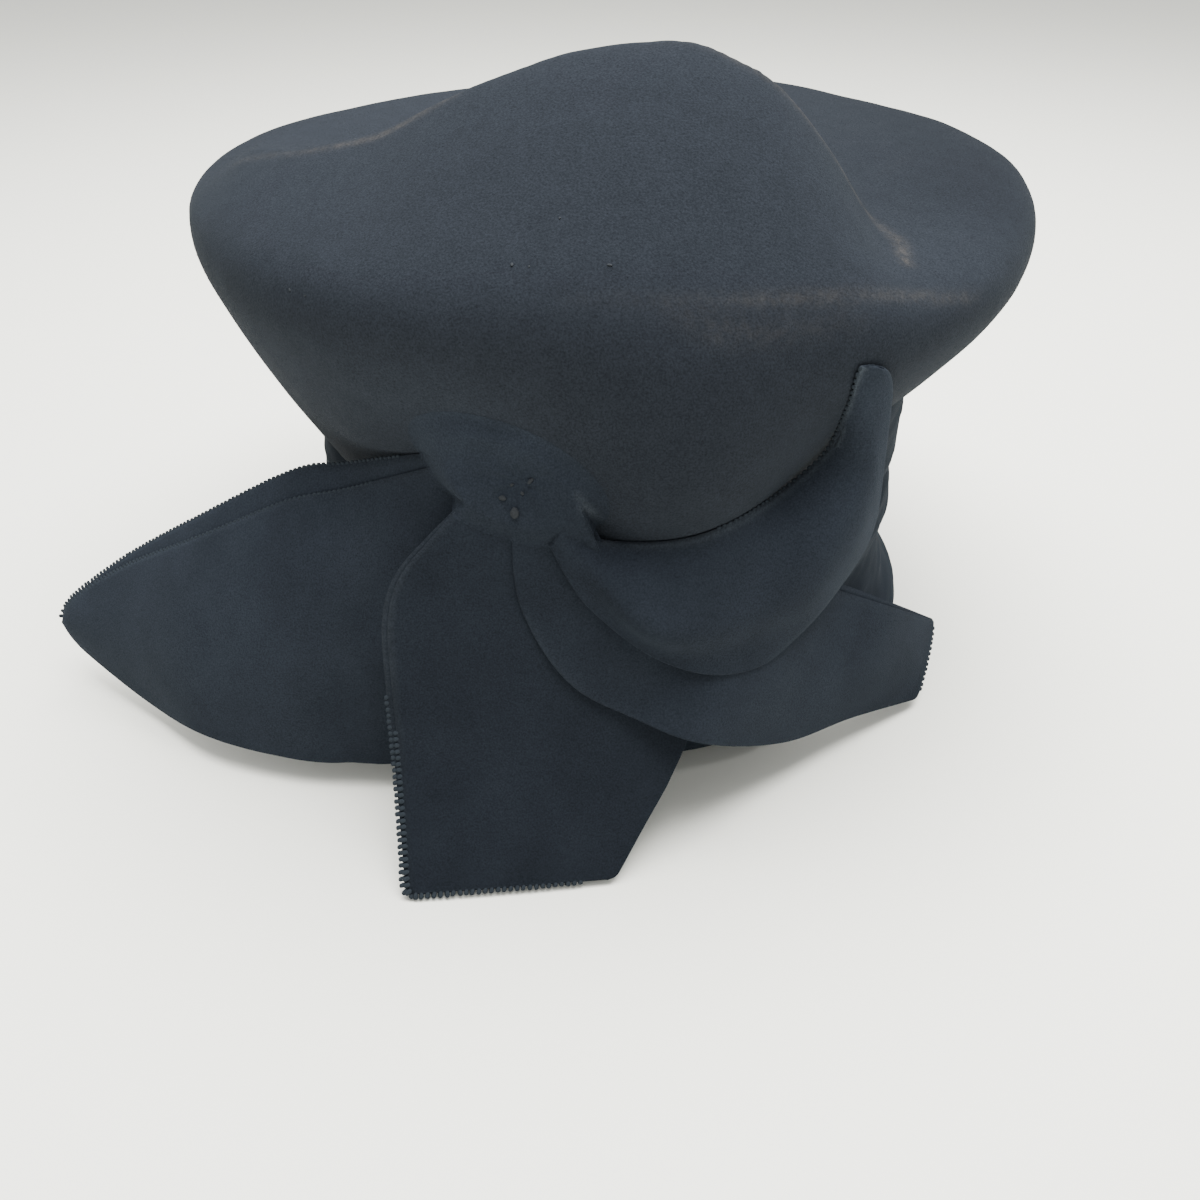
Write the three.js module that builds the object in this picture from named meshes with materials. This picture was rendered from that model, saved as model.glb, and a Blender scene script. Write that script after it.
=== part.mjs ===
// Velvet hat: a felt crown pushed up into a peaked front fold, a draped oval headband
// and a bow of folded velvet ribbon at the front.
// Millimetres, +Z up. The hat is drawn around the upright axis of the head, with the
// bow on the -Y side, and moved at the end so that the origin is the bottom centre
// of the bounding box.
import * as THREE from 'three';

// Driving dimensions of the crown: a felt wall, open at the seam with the headband.
const CROWN = {
  wall: 2.5,
  seamHalfWidth: 91.4,
  seamHalfDepth: 93.4,
  centreHeight: 148,
  dish: 2.2,
  spokes: 60,
  flankSteps: 7,
  topSteps: 14,
  topSpacing: 1.292,
};

// Where the side swells out behind the bow: the azimuth of its middle and how far round it
// reaches, both in radians, and how far out it comes.
const SWELL = { azimuth: 0.17, reach: 0.18, out: 12, rise: 0.75 };

// One row for each eighth of the way round, from the front over the right side:
// seam is the height of the lower edge, reach the widest radius, rim its height,
// top the height of the top just inside, round how tightly the edge turns over,
// and flank how full the side below it is.
const CROWN_SECTIONS = [
  { seam: 67, reach: 115, rim: 138, top: 150, round: 4.0, flank: 1.5 },
  { seam: 91, reach: 118, rim: 132, top: 142, round: 6.0, flank: 1.5 },
  { seam: 92, reach: 121, rim: 139, top: 156, round: 4.0, flank: 1.9 },
  { seam: 90, reach: 120, rim: 141, top: 159, round: 4.0, flank: 1.9 },
  { seam: 87, reach: 118, rim: 141, top: 158, round: 4.0, flank: 1.8 },
  { seam: 80, reach: 120, rim: 141, top: 155.5, round: 3.8, flank: 1.4 },
  { seam: 75, reach: 120, rim: 140, top: 155.5, round: 3.4, flank: 1.5 },
  { seam: 75, reach: 117.5, rim: 138, top: 153, round: 3.0, flank: 1.4 },
];

// The raised fold across the front of the top: its line from left to right, and its height.
const CREST = [
  { x: -110, y: -12, height: 151 },
  { x: -102, y: -21, height: 154 },
  { x: -80.5, y: -38.5, height: 157.5 },
  { x: -58.7, y: -43.3, height: 163 },
  { x: -38.3, y: -48, height: 172.5 },
  { x: -25, y: -49.5, height: 177.7 },
  { x: -10, y: -50, height: 182.4 },
  { x: 6.2, y: -51, height: 184.5 },
  { x: 20.3, y: -51, height: 184 },
  { x: 34.7, y: -52, height: 178.6 },
  { x: 42.3, y: -53, height: 173 },
  { x: 52.9, y: -54.8, height: 161.3 },
  { x: 63, y: -55.8, height: 147.1 },
  { x: 74, y: -60.6, height: 137 },
];

// Where the fold runs out: front is the radius it reaches forwards, fullness how full it
// stays on the way, backWidth how far it slopes back, ridge how softly it turns over, and
// edge the share of the reach where its ends stop gaining height.
const FOLD = { front: 115, fullness: 1.3, backWidth: 50, ridge: 4, edge: 0.93 };

// The headband: draped velvet with four soft folds, as tall as the crown's seam plus a tuck.
const BAND = {
  depthExtra: 2,
  drift: 0.018,
  tuck: 4,
  spokes: 48,
};

// The band's wall from the floor up: level is the share of the seam's height,
// outside and inside the half widths there.
const BAND_LEVELS = [
  { level: 0.0, outside: 90.5, inside: 88.0 },
  { level: 0.05, outside: 96.0, inside: 93.2 },
  { level: 0.12, outside: 99.2, inside: 96.2 },
  { level: 0.17, outside: 98.0, inside: 95.0 },
  { level: 0.24, outside: 93.8, inside: 91.0 },
  { level: 0.33, outside: 91.2, inside: 88.2 },
  { level: 0.4, outside: 89.8, inside: 87.1 },
  { level: 0.47, outside: 91.4, inside: 87.9 },
  { level: 0.55, outside: 92.0, inside: 88.6 },
  { level: 0.6, outside: 91.4, inside: 88.2 },
  { level: 0.65, outside: 89.4, inside: 86.8 },
  { level: 0.72, outside: 91.6, inside: 88.2 },
  { level: 0.85, outside: 92.0, inside: 88.8 },
  { level: 0.94, outside: 91.6, inside: 88.0 },
  { level: 0.985, outside: 90.2, inside: 86.8 },
];
const BAND_TUCK = { outside: 88.3, inside: 85.9, below: 0.6 };

// Ribbon of the bow: two layers of velvet with the fold along one edge. roundShare is the
// share of the width over which the fold rounds out to the full thickness, and aheadStep
// how far along a table, in rows, the ribbon's direction is taken.
const RIBBON = { layer: 1.2, gap: 1.0, rows: 15, roundShare: 0.12, aheadStep: 0.2 };

// Shares of the way from the fold to the free edge where a ribbon has points.
const RIBBON_STEPS = [0, 0.03, 0.12, 0.35, 0.6, 0.8, 1];

// Each ribbon piece has a row for each section along it: the free edges (fx, fy, fz),
// the folded edge (ex, ey, ez), the belly outwards, and the share by which the front
// layer's free edge stays behind the back layer's.
const WING_LEFT = [
  { fx: -24, fy: -107.9, fz: 106, ex: -24, ey: -95, ez: 58, belly: 0, lap: 0.02 },
  { fx: -43.5, fy: -105, fz: 106, ex: -50, ey: -105, ez: 14, belly: 0, lap: 0.04 },
  { fx: -68.8, fy: -91, fz: 96.5, ex: -75, ey: -106, ez: 9, belly: 2, lap: 0.08 },
  { fx: -85.3, fy: -80, fz: 87.8, ex: -95, ey: -103, ez: 9, belly: 4, lap: 0.1 },
  { fx: -115.9, fy: -67, fz: 66.3, ex: -118, ey: -94, ez: 9, belly: 5, lap: 0.1 },
  { fx: -142.4, fy: -58, fz: 48, ex: -140, ey: -76.5, ez: 7, belly: 4, lap: 0.07 },
  { fx: -164.6, fy: -54, fz: 30.4, ex: -163, ey: -60, ez: 13, belly: 1.5, lap: 0.03 },
  { fx: -171, fy: -53, fz: 22, ex: -170.5, ey: -54.5, ez: 18.5, belly: 0, lap: 0 },
];
const TAIL_FRONT = [
  { fx: -33, fy: -109.9, fz: 97, ex: -8, ey: -111.2, ez: 96, belly: 0, lap: 0 },
  { fx: -44.2, fy: -111.5, fz: 86, ex: 0, ey: -114, ez: 80, belly: 0.5, lap: 0.02 },
  { fx: -53.2, fy: -113, fz: 75.5, ex: 10, ey: -115.5, ez: 64, belly: 1, lap: 0.02 },
  { fx: -56.8, fy: -116.5, fz: 64.8, ex: 17, ey: -118, ez: 50, belly: 1, lap: 0.02 },
  { fx: -56.9, fy: -121, fz: 49.6, ex: 20, ey: -122, ez: 37, belly: 1, lap: 0.02 },
  { fx: -55.5, fy: -128.5, fz: 29.6, ex: 15, ey: -129, ez: 25, belly: 1, lap: 0.02 },
  { fx: -54, fy: -138, fz: 14.5, ex: 8, ey: -135.5, ez: 13.5, belly: 1, lap: 0.02 },
  { fx: -52.6, fy: -148, fz: 1.9, ex: 0.7, ey: -142.6, ez: 1.9, belly: 0, lap: 0.02 },
];
const PETAL_LOWER = [
  { fx: -8, fy: -115.8, fz: 98, ex: -24, ey: -115.8, ez: 91, belly: 0, lap: 0 },
  { fx: 4, fy: -117.8, fz: 76, ex: -22, ey: -120, ez: 68, belly: 0.5, lap: 0.03 },
  { fx: 25, fy: -115.5, fz: 66, ex: -7.4, ey: -128, ez: 47, belly: 0.5, lap: 0.04 },
  { fx: 48, fy: -98.5, fz: 68, ex: 19.5, ey: -129.5, ez: 37, belly: 1, lap: 0.04 },
  { fx: 64, fy: -86, fz: 55, ex: 46.2, ey: -109, ez: 18.8, belly: 2, lap: 0.04 },
  { fx: 81.5, fy: -75, fz: 41.5, ex: 70, ey: -89.5, ez: 11.5, belly: 2, lap: 0.03 },
  { fx: 100.5, fy: -55.5, fz: 22.5, ex: 94.5, ey: -71, ez: 3.6, belly: 0, lap: 0.02 },
];
const PETAL_UPPER = [
  { fx: -9, fy: -119.9, fz: 96, ex: -15, ey: -121, ez: 86, belly: 0, lap: 0 },
  { fx: -3, fy: -120.5, fz: 91, ex: -5, ey: -127, ez: 70, belly: 0.5, lap: 0.03 },
  { fx: 16, fy: -115, fz: 87.3, ex: 14, ey: -131.5, ez: 57, belly: 1, lap: 0.05 },
  { fx: 32.4, fy: -110.5, fz: 92.3, ex: 39.5, ey: -118, ez: 50, belly: 1.5, lap: 0.05 },
  { fx: 50.5, fy: -107.5, fz: 107, ex: 59.3, ey: -98.5, ez: 63.4, belly: 2.5, lap: 0.05 },
  { fx: 54.2, fy: -104, fz: 116.3, ex: 67.6, ey: -90, ez: 75, belly: 2, lap: 0.05 },
  { fx: 55, fy: -103.5, fz: 123.2, ex: 67, ey: -93, ez: 97.5, belly: 1, lap: 0.03 },
  { fx: 56, fy: -104.3, fz: 127, ex: 65.3, ey: -97.2, ez: 119.5, belly: 0, lap: 0 },
];

// The gathered middle of the bow, a pleated pad over the roots of the ribbons. leanTop and
// leanLow are how far its upper and lower edges lean back.
const KNOT = { pleats: 4, ripple: 0.6, loop: 22, rows: 12, backShare: 0.35 };
const KNOT_SECTIONS = [
  { x: -46, y: -111, z: 103.5, halfHeight: 3.5, halfDepth: 1.6, leanTop: 1, leanLow: 1 },
  { x: -36, y: -115, z: 102.5, halfHeight: 7.5, halfDepth: 2.3, leanTop: 2.5, leanLow: 2 },
  { x: -24, y: -119.8, z: 99.5, halfHeight: 11.5, halfDepth: 2.8, leanTop: 4.5, leanLow: 0 },
  { x: -12, y: -124.6, z: 98.5, halfHeight: 11.5, halfDepth: 2.8, leanTop: 6, leanLow: 0 },
  { x: -2, y: -126.6, z: 96, halfHeight: 8.5, halfDepth: 2.0, leanTop: 4, leanLow: 0 },
];

const LOOKS = {
  felt: { color: 0x1c1f24, roughness: 0.95, metalness: 0 },
  velvet: { color: 0x141a22, roughness: 0.9, metalness: 0 },
};

const TURN = Math.PI * 2;
const UP = new THREE.Vector3(0, 0, 1);

// Smooth value through a table's column, at a place counted in rows.
function along(table, column, place, closed = false) {
  const count = table.length;
  const row = Math.floor(place);
  const share = place - row;
  const pick = (index) => {
    const kept = closed ? (index + count) % count : THREE.MathUtils.clamp(index, 0, count - 1);
    return table[kept][column];
  };
  const [before, here, next, after] = [pick(row - 1), pick(row), pick(row + 1), pick(row + 2)];
  const startSlope = (next - before) / 2;
  const endSlope = (after - here) / 2;
  const square = share * share;
  const cube = square * share;
  return here * (2 * cube - 3 * square + 1) + startSlope * (cube - 2 * square + share)
    + next * (3 * square - 2 * cube) + endSlope * (cube - square);
}

// Place in a table, counted in rows, where its key column has the given value.
function placeOf(table, key, value) {
  const last = table.length - 1;
  if (value <= table[0][key]) return 0;
  if (value >= table[last][key]) return last;
  const row = table.findIndex((entry) => entry[key] > value) - 1;
  return row + (value - table[row][key]) / (table[row + 1][key] - table[row][key]);
}

function ovalRadius(halfWidth, halfDepth, azimuth) {
  return 1 / Math.hypot(Math.sin(azimuth) / halfWidth, Math.cos(azimuth) / halfDepth);
}

// A point at an azimuth counted from the front (-Y) towards +X.
function polar(azimuth, radius, height) {
  return new THREE.Vector3(radius * Math.sin(azimuth), -radius * Math.cos(azimuth), height);
}

function azimuthOf(x, y) {
  return (Math.atan2(x, -y) + TURN) % TURN;
}

function crownSection(azimuth) {
  const place = (azimuth / TURN) * CROWN_SECTIONS.length;
  const value = (column) => along(CROWN_SECTIONS, column, place, true);
  return {
    seam: value('seam'),
    reach: value('reach'),
    rim: value('rim'),
    top: value('top'),
    round: value('round'),
    flank: value('flank'),
  };
}

// Height of the crown's dished top without the fold, at a share of the reach.
function plateau(section, share) {
  return CROWN.centreHeight + (section.top - CROWN.centreHeight) * share ** CROWN.dish;
}

// Share of the full height that the rounded edge has reached, at a share of the reach.
function edgeRise(section, share) {
  return Math.sqrt(1 - share ** section.round);
}

// How far the raised fold lifts the top at a point.
function foldLift(x, y) {
  const first = CREST[0].x;
  const last = CREST[CREST.length - 1].x;
  if (x <= first || x >= last) return 0;
  const place = placeOf(CREST, 'x', x);
  const crestY = along(CREST, 'y', place);
  const section = crownSection(azimuthOf(x, crestY));
  const share = Math.min(FOLD.edge, Math.hypot(x, crestY) / section.reach);
  const full = section.rim + (along(CREST, 'height', place) - section.rim) / edgeRise(section, share);
  const lift = Math.max(0, full - plateau(section, share));
  if (y > crestY) {
    const behind = Math.hypot(y - crestY, FOLD.ridge) - FOLD.ridge;
    return lift * Math.max(0, 1 - behind / FOLD.backWidth) ** 2;
  }
  const frontY = -Math.sqrt(Math.max(1, FOLD.front ** 2 - x * x));
  const forward = Math.min(1, (crestY - y) / Math.max(1, crestY - frontY));
  return lift * (1 - forward ** FOLD.fullness);
}

// How far the side swells out behind the bow, at a share of its height.
function swell(azimuth, share) {
  const turned = ((azimuth - SWELL.azimuth + TURN * 1.5) % TURN) - TURN / 2;
  const round = Math.exp(-((turned / SWELL.reach) ** 2));
  return SWELL.out * round * Math.sin(Math.PI * share ** SWELL.rise);
}

function flankPoint(azimuth, share) {
  const section = crownSection(azimuth);
  const seam = ovalRadius(CROWN.seamHalfWidth, CROWN.seamHalfDepth, azimuth);
  const spread = 1 - (1 - share) ** section.flank;
  const height = section.seam + (section.rim - section.seam) * share;
  const radius = seam + (section.reach - seam) * spread + swell(azimuth, share);
  return polar(azimuth, radius, height);
}

function topPoint(azimuth, share) {
  const section = crownSection(azimuth);
  const point = polar(azimuth, section.reach * share, 0);
  const full = plateau(section, share) + foldLift(point.x, point.y);
  point.z = section.rim + (full - section.rim) * edgeRise(section, share);
  return point;
}

// Rings of points from the seam up the side and over the rim to the middle.
function crownRings() {
  const rings = [];
  const ring = (pointAt) => Array.from({ length: CROWN.spokes }, (_, spoke) => {
    return pointAt((spoke / CROWN.spokes) * TURN);
  });
  for (let step = 0; step < CROWN.flankSteps; step += 1) {
    rings.push(ring((azimuth) => flankPoint(azimuth, step / CROWN.flankSteps)));
  }
  for (let step = 0; step < CROWN.topSteps; step += 1) {
    const share = 1 - (step / CROWN.topSteps) ** CROWN.topSpacing;
    rings.push(ring((azimuth) => topPoint(azimuth, share)));
  }
  return rings;
}

// The same rings moved inwards by the wall, along the surface's normal.
function insetRings(rings, pole, wall) {
  const count = rings[0].length;
  return rings.map((ring, level) => ring.map((point, spoke) => {
    const next = ring[(spoke + 1) % count];
    const previous = ring[(spoke + count - 1) % count];
    const below = level === 0 ? point : rings[level - 1][spoke];
    const above = level === rings.length - 1 ? pole : rings[level + 1][spoke];
    const across = new THREE.Vector3().subVectors(next, previous);
    const upward = new THREE.Vector3().subVectors(above, below);
    const normal = across.cross(upward).normalize();
    const moved = point.clone().addScaledVector(normal, -wall);
    if (level === 0) moved.z = point.z;
    return moved;
  }));
}

// Gathers triangles of a closed body and turns them outwards.
class Body {
  constructor() {
    this.points = [];
    this.faces = [];
  }

  add(points) {
    const start = this.points.length;
    this.points.push(...points);
    return points.map((_, index) => start + index);
  }

  quad(a, b, c, d) {
    this.faces.push([a, b, c], [a, c, d]);
  }

  // Joins two rows of vertices, closed or open, with quads.
  bridge(low, high, closed) {
    const last = closed ? low.length : low.length - 1;
    for (let index = 0; index < last; index += 1) {
      const next = (index + 1) % low.length;
      this.quad(low[index], low[next], high[next], high[index]);
    }
  }

  fan(loop, centre, turned) {
    loop.forEach((vertex, index) => {
      const next = loop[(index + 1) % loop.length];
      this.faces.push(turned ? [next, vertex, centre] : [vertex, next, centre]);
    });
  }

  volume() {
    return this.faces.reduce((sum, face) => {
      const [a, b, c] = face.map((vertex) => this.points[vertex]);
      return sum + a.dot(new THREE.Vector3().crossVectors(b, c)) / 6;
    }, 0);
  }

  geometry() {
    const outward = this.volume() > 0;
    const geometry = new THREE.BufferGeometry();
    const places = this.points.flatMap((point) => [point.x, point.y, point.z]);
    geometry.setAttribute('position', new THREE.Float32BufferAttribute(places, 3));
    geometry.setIndex(this.faces.flatMap(([a, b, c]) => (outward ? [a, b, c] : [a, c, b])));
    geometry.computeVertexNormals();
    return geometry;
  }
}

function crownGeometry() {
  const rings = crownRings();
  const pole = topPoint(0, 0);
  const innerRings = insetRings(rings, pole, CROWN.wall);
  const innerPole = pole.clone().addScaledVector(UP, -CROWN.wall);
  const body = new Body();
  const outer = rings.map((ring) => body.add(ring));
  const inner = innerRings.map((ring) => body.add(ring));
  const [outerTop, innerTop] = body.add([pole, innerPole]);
  for (let level = 1; level < outer.length; level += 1) {
    body.bridge(outer[level - 1], outer[level], true);
    body.bridge(inner[level], inner[level - 1], true);
  }
  body.fan(outer[outer.length - 1], outerTop, false);
  body.fan(inner[inner.length - 1], innerTop, true);
  body.bridge(inner[0], outer[0], true);
  return body.geometry();
}

// One upright section through the headband, from the floor up outside and down inside.
function bandSection(azimuth) {
  const top = crownSection(azimuth).seam;
  const point = (halfWidth, height) => {
    return polar(azimuth, ovalRadius(halfWidth, halfWidth + BAND.depthExtra, azimuth), height);
  };
  const heightOf = (level) => {
    const wander = BAND.drift * Math.sin(Math.PI * level) * Math.sin(2 * azimuth + 1);
    return top * (level + wander);
  };
  const outside = BAND_LEVELS.map((row) => point(row.outside, heightOf(row.level)));
  const inside = BAND_LEVELS.map((row) => point(row.inside, heightOf(row.level)));
  outside.push(point(BAND_TUCK.outside, top - BAND_TUCK.below));
  outside.push(point(BAND_TUCK.outside, top + BAND.tuck));
  inside.push(point(BAND_TUCK.inside, top + BAND.tuck));
  return [...outside, ...inside.reverse()];
}

function bandGeometry() {
  const body = new Body();
  const loops = Array.from({ length: BAND.spokes }, (_, spoke) => {
    return body.add(bandSection((spoke / BAND.spokes) * TURN));
  });
  loops.forEach((loop, spoke) => body.bridge(loop, loops[(spoke + 1) % BAND.spokes], true));
  return body.geometry();
}

// Half the thickness of the folded ribbon at a share of its width, round at the fold.
function ribbonHalf(share, full) {
  const near = Math.min(1, share / RIBBON.roundShare);
  return full * Math.sqrt(1 - (1 - near) ** 2);
}

// A closed outline across the folded ribbon: the outside round the fold, then the slot inside.
function ribbonSection(table, place, middleLine) {
  const value = (column) => along(table, column, place);
  const free = new THREE.Vector3(value('fx'), value('fy'), value('fz'));
  const fold = new THREE.Vector3(value('ex'), value('ey'), value('ez'));
  const across = new THREE.Vector3().subVectors(free, fold);
  const normal = new THREE.Vector3().crossVectors(middleLine, across).normalize();
  if (normal.y > 0) normal.negate();
  const lap = 1 - value('lap');
  const belly = value('belly');
  const slot = RIBBON.layer / across.length();
  const outer = RIBBON.gap / 2 + RIBBON.layer;
  const at = (share, offset) => fold.clone().addScaledVector(across, share)
    .addScaledVector(normal, offset + belly * Math.sin(Math.PI * share));
  const outside = (share, side, reach) => at(share * reach, side * ribbonHalf(share, outer));
  const within = (share, side, reach) => {
    return at(slot + share * (reach - slot), side * ribbonHalf(share, RIBBON.gap / 2));
  };
  const rising = RIBBON_STEPS.slice(1);
  const falling = [...rising].reverse();
  return [
    ...falling.map((share) => outside(share, -1, 1)),
    outside(0, 1, 1),
    ...rising.map((share) => outside(share, 1, lap)),
    ...falling.map((share) => within(share, 1, lap)),
    within(0, 1, 1),
    ...rising.map((share) => within(share, -1, 1)),
  ];
}

function ribbonGeometry(table) {
  const body = new Body();
  const middle = (place) => {
    const value = (column) => along(table, column, place);
    return new THREE.Vector3(
      value('fx') + value('ex'),
      value('fy') + value('ey'),
      value('fz') + value('ez'),
    );
  };
  const last = table.length - 1;
  const loops = Array.from({ length: RIBBON.rows }, (_, row) => {
    const place = (row / (RIBBON.rows - 1)) * last;
    const ahead = middle(Math.min(last, place + RIBBON.aheadStep));
    const behind = middle(Math.max(0, place - RIBBON.aheadStep));
    return body.add(ribbonSection(table, place, ahead.sub(behind)));
  });
  for (let row = 1; row < loops.length; row += 1) {
    body.bridge(loops[row - 1], loops[row], true);
  }
  closeStrip(body, loops[0], true);
  closeStrip(body, loops[loops.length - 1], false);
  return body.geometry();
}

// Fills an end of the ribbon: each outside point pairs with the inside point across the wall.
function closeStrip(body, loop, turned) {
  const size = loop.length;
  for (let index = 0; index < size / 2 - 1; index += 1) {
    const corners = [loop[index], loop[index + 1], loop[size - 2 - index], loop[size - 1 - index]];
    if (turned) corners.reverse();
    body.quad(...corners);
  }
}

function knotSection(place) {
  const value = (column) => along(KNOT_SECTIONS, column, place);
  const centre = new THREE.Vector3(value('x'), value('y'), value('z'));
  return Array.from({ length: KNOT.loop }, (_, index) => {
    const angle = (index / KNOT.loop) * TURN;
    const rise = Math.sin(angle);
    const front = Math.cos(angle);
    const ripple = front > 0 ? KNOT.ripple * Math.cos(KNOT.pleats * Math.PI * rise) * front : 0;
    const depth = value('halfDepth') * front * (front > 0 ? 1 : KNOT.backShare) + ripple;
    const lean = value(rise > 0 ? 'leanTop' : 'leanLow') * rise * rise;
    return centre.clone().add(new THREE.Vector3(0, lean - depth, value('halfHeight') * rise));
  });
}

function knotGeometry() {
  const body = new Body();
  const last = KNOT_SECTIONS.length - 1;
  const loops = Array.from({ length: KNOT.rows }, (_, row) => {
    return knotSection((row / (KNOT.rows - 1)) * last);
  });
  const rows = loops.map((loop) => body.add(loop));
  const middleOf = (loop) => loop.reduce((sum, point) => sum.add(point), new THREE.Vector3())
    .divideScalar(loop.length);
  const [left, right] = body.add([middleOf(loops[0]), middleOf(loops[loops.length - 1])]);
  for (let row = 1; row < rows.length; row += 1) {
    body.bridge(rows[row - 1], rows[row], true);
  }
  body.fan(rows[0], left, true);
  body.fan(rows[rows.length - 1], right, false);
  return body.geometry();
}

function piece(name, geometry, look) {
  const mesh = new THREE.Mesh(geometry, new THREE.MeshStandardMaterial(look));
  mesh.name = name;
  return mesh;
}

function hat() {
  const pieces = new THREE.Group();
  pieces.add(
    piece('crown', crownGeometry(), LOOKS.felt),
    piece('headband', bandGeometry(), LOOKS.velvet),
    piece('bow_knot', knotGeometry(), LOOKS.velvet),
    piece('bow_wing_left', ribbonGeometry(WING_LEFT), LOOKS.velvet),
    piece('bow_tail_front', ribbonGeometry(TAIL_FRONT), LOOKS.velvet),
    piece('bow_petal_right_lower', ribbonGeometry(PETAL_LOWER), LOOKS.velvet),
    piece('bow_petal_right_upper', ribbonGeometry(PETAL_UPPER), LOOKS.velvet),
  );
  const box = new THREE.Box3().setFromObject(pieces);
  const centre = box.getCenter(new THREE.Vector3());
  pieces.position.set(-centre.x, -centre.y, -box.min.z);
  return pieces;
}

const group = new THREE.Group();
group.add(hat());

export default group;
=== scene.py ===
"""Velvet hat: a napped felt crown pushed up into a peaked front fold, a draped velvet
headband and a bow of folded velvet ribbon with picot edges.

Tables are in millimetres around the upright axis of the head, with the bow on the -Y side.
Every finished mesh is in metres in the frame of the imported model.
"""

import logging
import math
from dataclasses import dataclass, field
from enum import Enum
from typing import NamedTuple

import bpy
import numpy as np
from mathutils import Matrix, Vector, noise
from mathutils.bvhtree import BVHTree


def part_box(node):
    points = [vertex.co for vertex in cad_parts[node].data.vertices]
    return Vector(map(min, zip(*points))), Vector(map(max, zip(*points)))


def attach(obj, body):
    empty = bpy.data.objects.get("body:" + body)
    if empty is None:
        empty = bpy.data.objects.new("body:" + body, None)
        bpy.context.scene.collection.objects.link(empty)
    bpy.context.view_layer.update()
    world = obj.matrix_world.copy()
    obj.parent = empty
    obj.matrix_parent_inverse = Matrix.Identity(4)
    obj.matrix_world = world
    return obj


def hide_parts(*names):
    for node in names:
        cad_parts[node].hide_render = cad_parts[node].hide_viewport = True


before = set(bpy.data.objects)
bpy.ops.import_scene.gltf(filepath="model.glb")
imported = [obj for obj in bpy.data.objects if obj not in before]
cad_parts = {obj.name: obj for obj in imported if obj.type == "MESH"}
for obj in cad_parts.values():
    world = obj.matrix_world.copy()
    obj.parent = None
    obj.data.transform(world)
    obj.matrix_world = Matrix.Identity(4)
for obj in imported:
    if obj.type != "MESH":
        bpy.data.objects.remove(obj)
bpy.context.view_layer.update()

LOG = logging.getLogger("velvet_hat")
MM = 0.001
TURN = 2 * math.pi
BODY = "root"
# A length in millimetres that counts as none.
TINY = 1e-6
# Depth well in front of the hat, from which rays look back at it.
FAR_FRONT = -400
# Way in which a seed shifts the noise.
NOISE_SHIFT = (1.0, 0.7, -0.4)

Points = np.ndarray
Colour = tuple[float, float, float]
Place = tuple[float, float, float]
Socket = bpy.types.NodeSocket


class Slot(Enum):
    """Material slots of the record."""

    FELT = "felt"
    BAND = "velvet_band"
    RIBBON = "velvet_ribbon"


class Held(Enum):
    """How a sheet of cloth is held."""

    STRETCHED = "stretched"
    DRAPED = "draped"
    FOLDED = "folded"
    GATHERED = "gathered"


class RibbonEdge(Enum):
    """Edges of a folded ribbon piece that can carry picot loops."""

    FRONT = "front"
    BACK = "back"
    END_FRONT = "end_front"
    END_BACK = "end_back"


class CrownSection(NamedTuple):
    """Heights and radii of the crown in one direction."""

    seam: float
    reach: float
    rim: float
    top: float
    round: float
    flank: float


class CrestPoint(NamedTuple):
    """A point of the raised fold's line, and its height."""

    x: float
    y: float
    height: float


class BandLevel(NamedTuple):
    """Half widths of the headband at a share of the seam's height."""

    level: float
    outside: float
    inside: float


class RibbonSection(NamedTuple):
    """Free edge, folded edge, belly outwards and lap of a folded ribbon."""

    free_x: float
    free_y: float
    free_z: float
    fold_x: float
    fold_y: float
    fold_z: float
    belly: float
    lap: float


class Span(NamedTuple):
    """Where a change starts, and where it is complete."""

    start: float
    stop: float

    def share(self, values: Points) -> Points:
        """Share of the change that each value has reached, from 0 to 1."""
        return np.clip((values - self.start) / (self.stop - self.start), 0, 1)


# A row for each eighth of the way round, from the front over the side at +X.
CROWN_SECTIONS = (
    CrownSection(67, 115, 138, 150, 4.0, 1.5),
    CrownSection(91, 118, 132, 142, 6.0, 1.5),
    CrownSection(92, 121, 140.5, 156, 4.0, 1.9),
    CrownSection(90, 120, 141, 159, 4.0, 1.9),
    CrownSection(87, 118, 141, 158, 4.0, 1.8),
    CrownSection(80, 120, 141, 155.5, 3.8, 1.4),
    CrownSection(75, 120, 141.5, 155.5, 3.4, 1.5),
    CrownSection(75, 117.5, 138, 153, 3.0, 1.4),
)

# From the end of the fold at -X to the one at +X.
CREST = (
    CrestPoint(-110, -12, 151),
    CrestPoint(-102, -21, 154),
    CrestPoint(-80.5, -38.5, 157.5),
    CrestPoint(-58.7, -43.3, 163),
    CrestPoint(-38.3, -48, 172.5),
    CrestPoint(-25, -49.5, 177.7),
    CrestPoint(-10, -50, 182.4),
    CrestPoint(6.2, -51, 184.5),
    CrestPoint(20.3, -51, 184),
    CrestPoint(34.7, -52, 178.6),
    CrestPoint(42.3, -53, 173),
    CrestPoint(52.9, -54.8, 161.3),
    CrestPoint(63, -55.8, 147.1),
    CrestPoint(74, -60.6, 137),
)

# From the floor to just under the seam.
BAND_LEVELS = (
    BandLevel(0.0, 90.5, 88.0),
    BandLevel(0.05, 96.0, 93.2),
    BandLevel(0.12, 99.2, 96.2),
    BandLevel(0.17, 98.0, 95.0),
    BandLevel(0.24, 93.8, 91.0),
    BandLevel(0.33, 91.2, 88.2),
    BandLevel(0.4, 89.8, 87.1),
    BandLevel(0.47, 91.4, 87.9),
    BandLevel(0.55, 92.0, 88.6),
    BandLevel(0.6, 91.4, 88.2),
    BandLevel(0.65, 89.4, 86.8),
    BandLevel(0.72, 91.6, 88.2),
    BandLevel(0.85, 92.0, 88.8),
    BandLevel(0.94, 91.6, 88.0),
    BandLevel(0.985, 90.2, 86.8),
)

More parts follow.
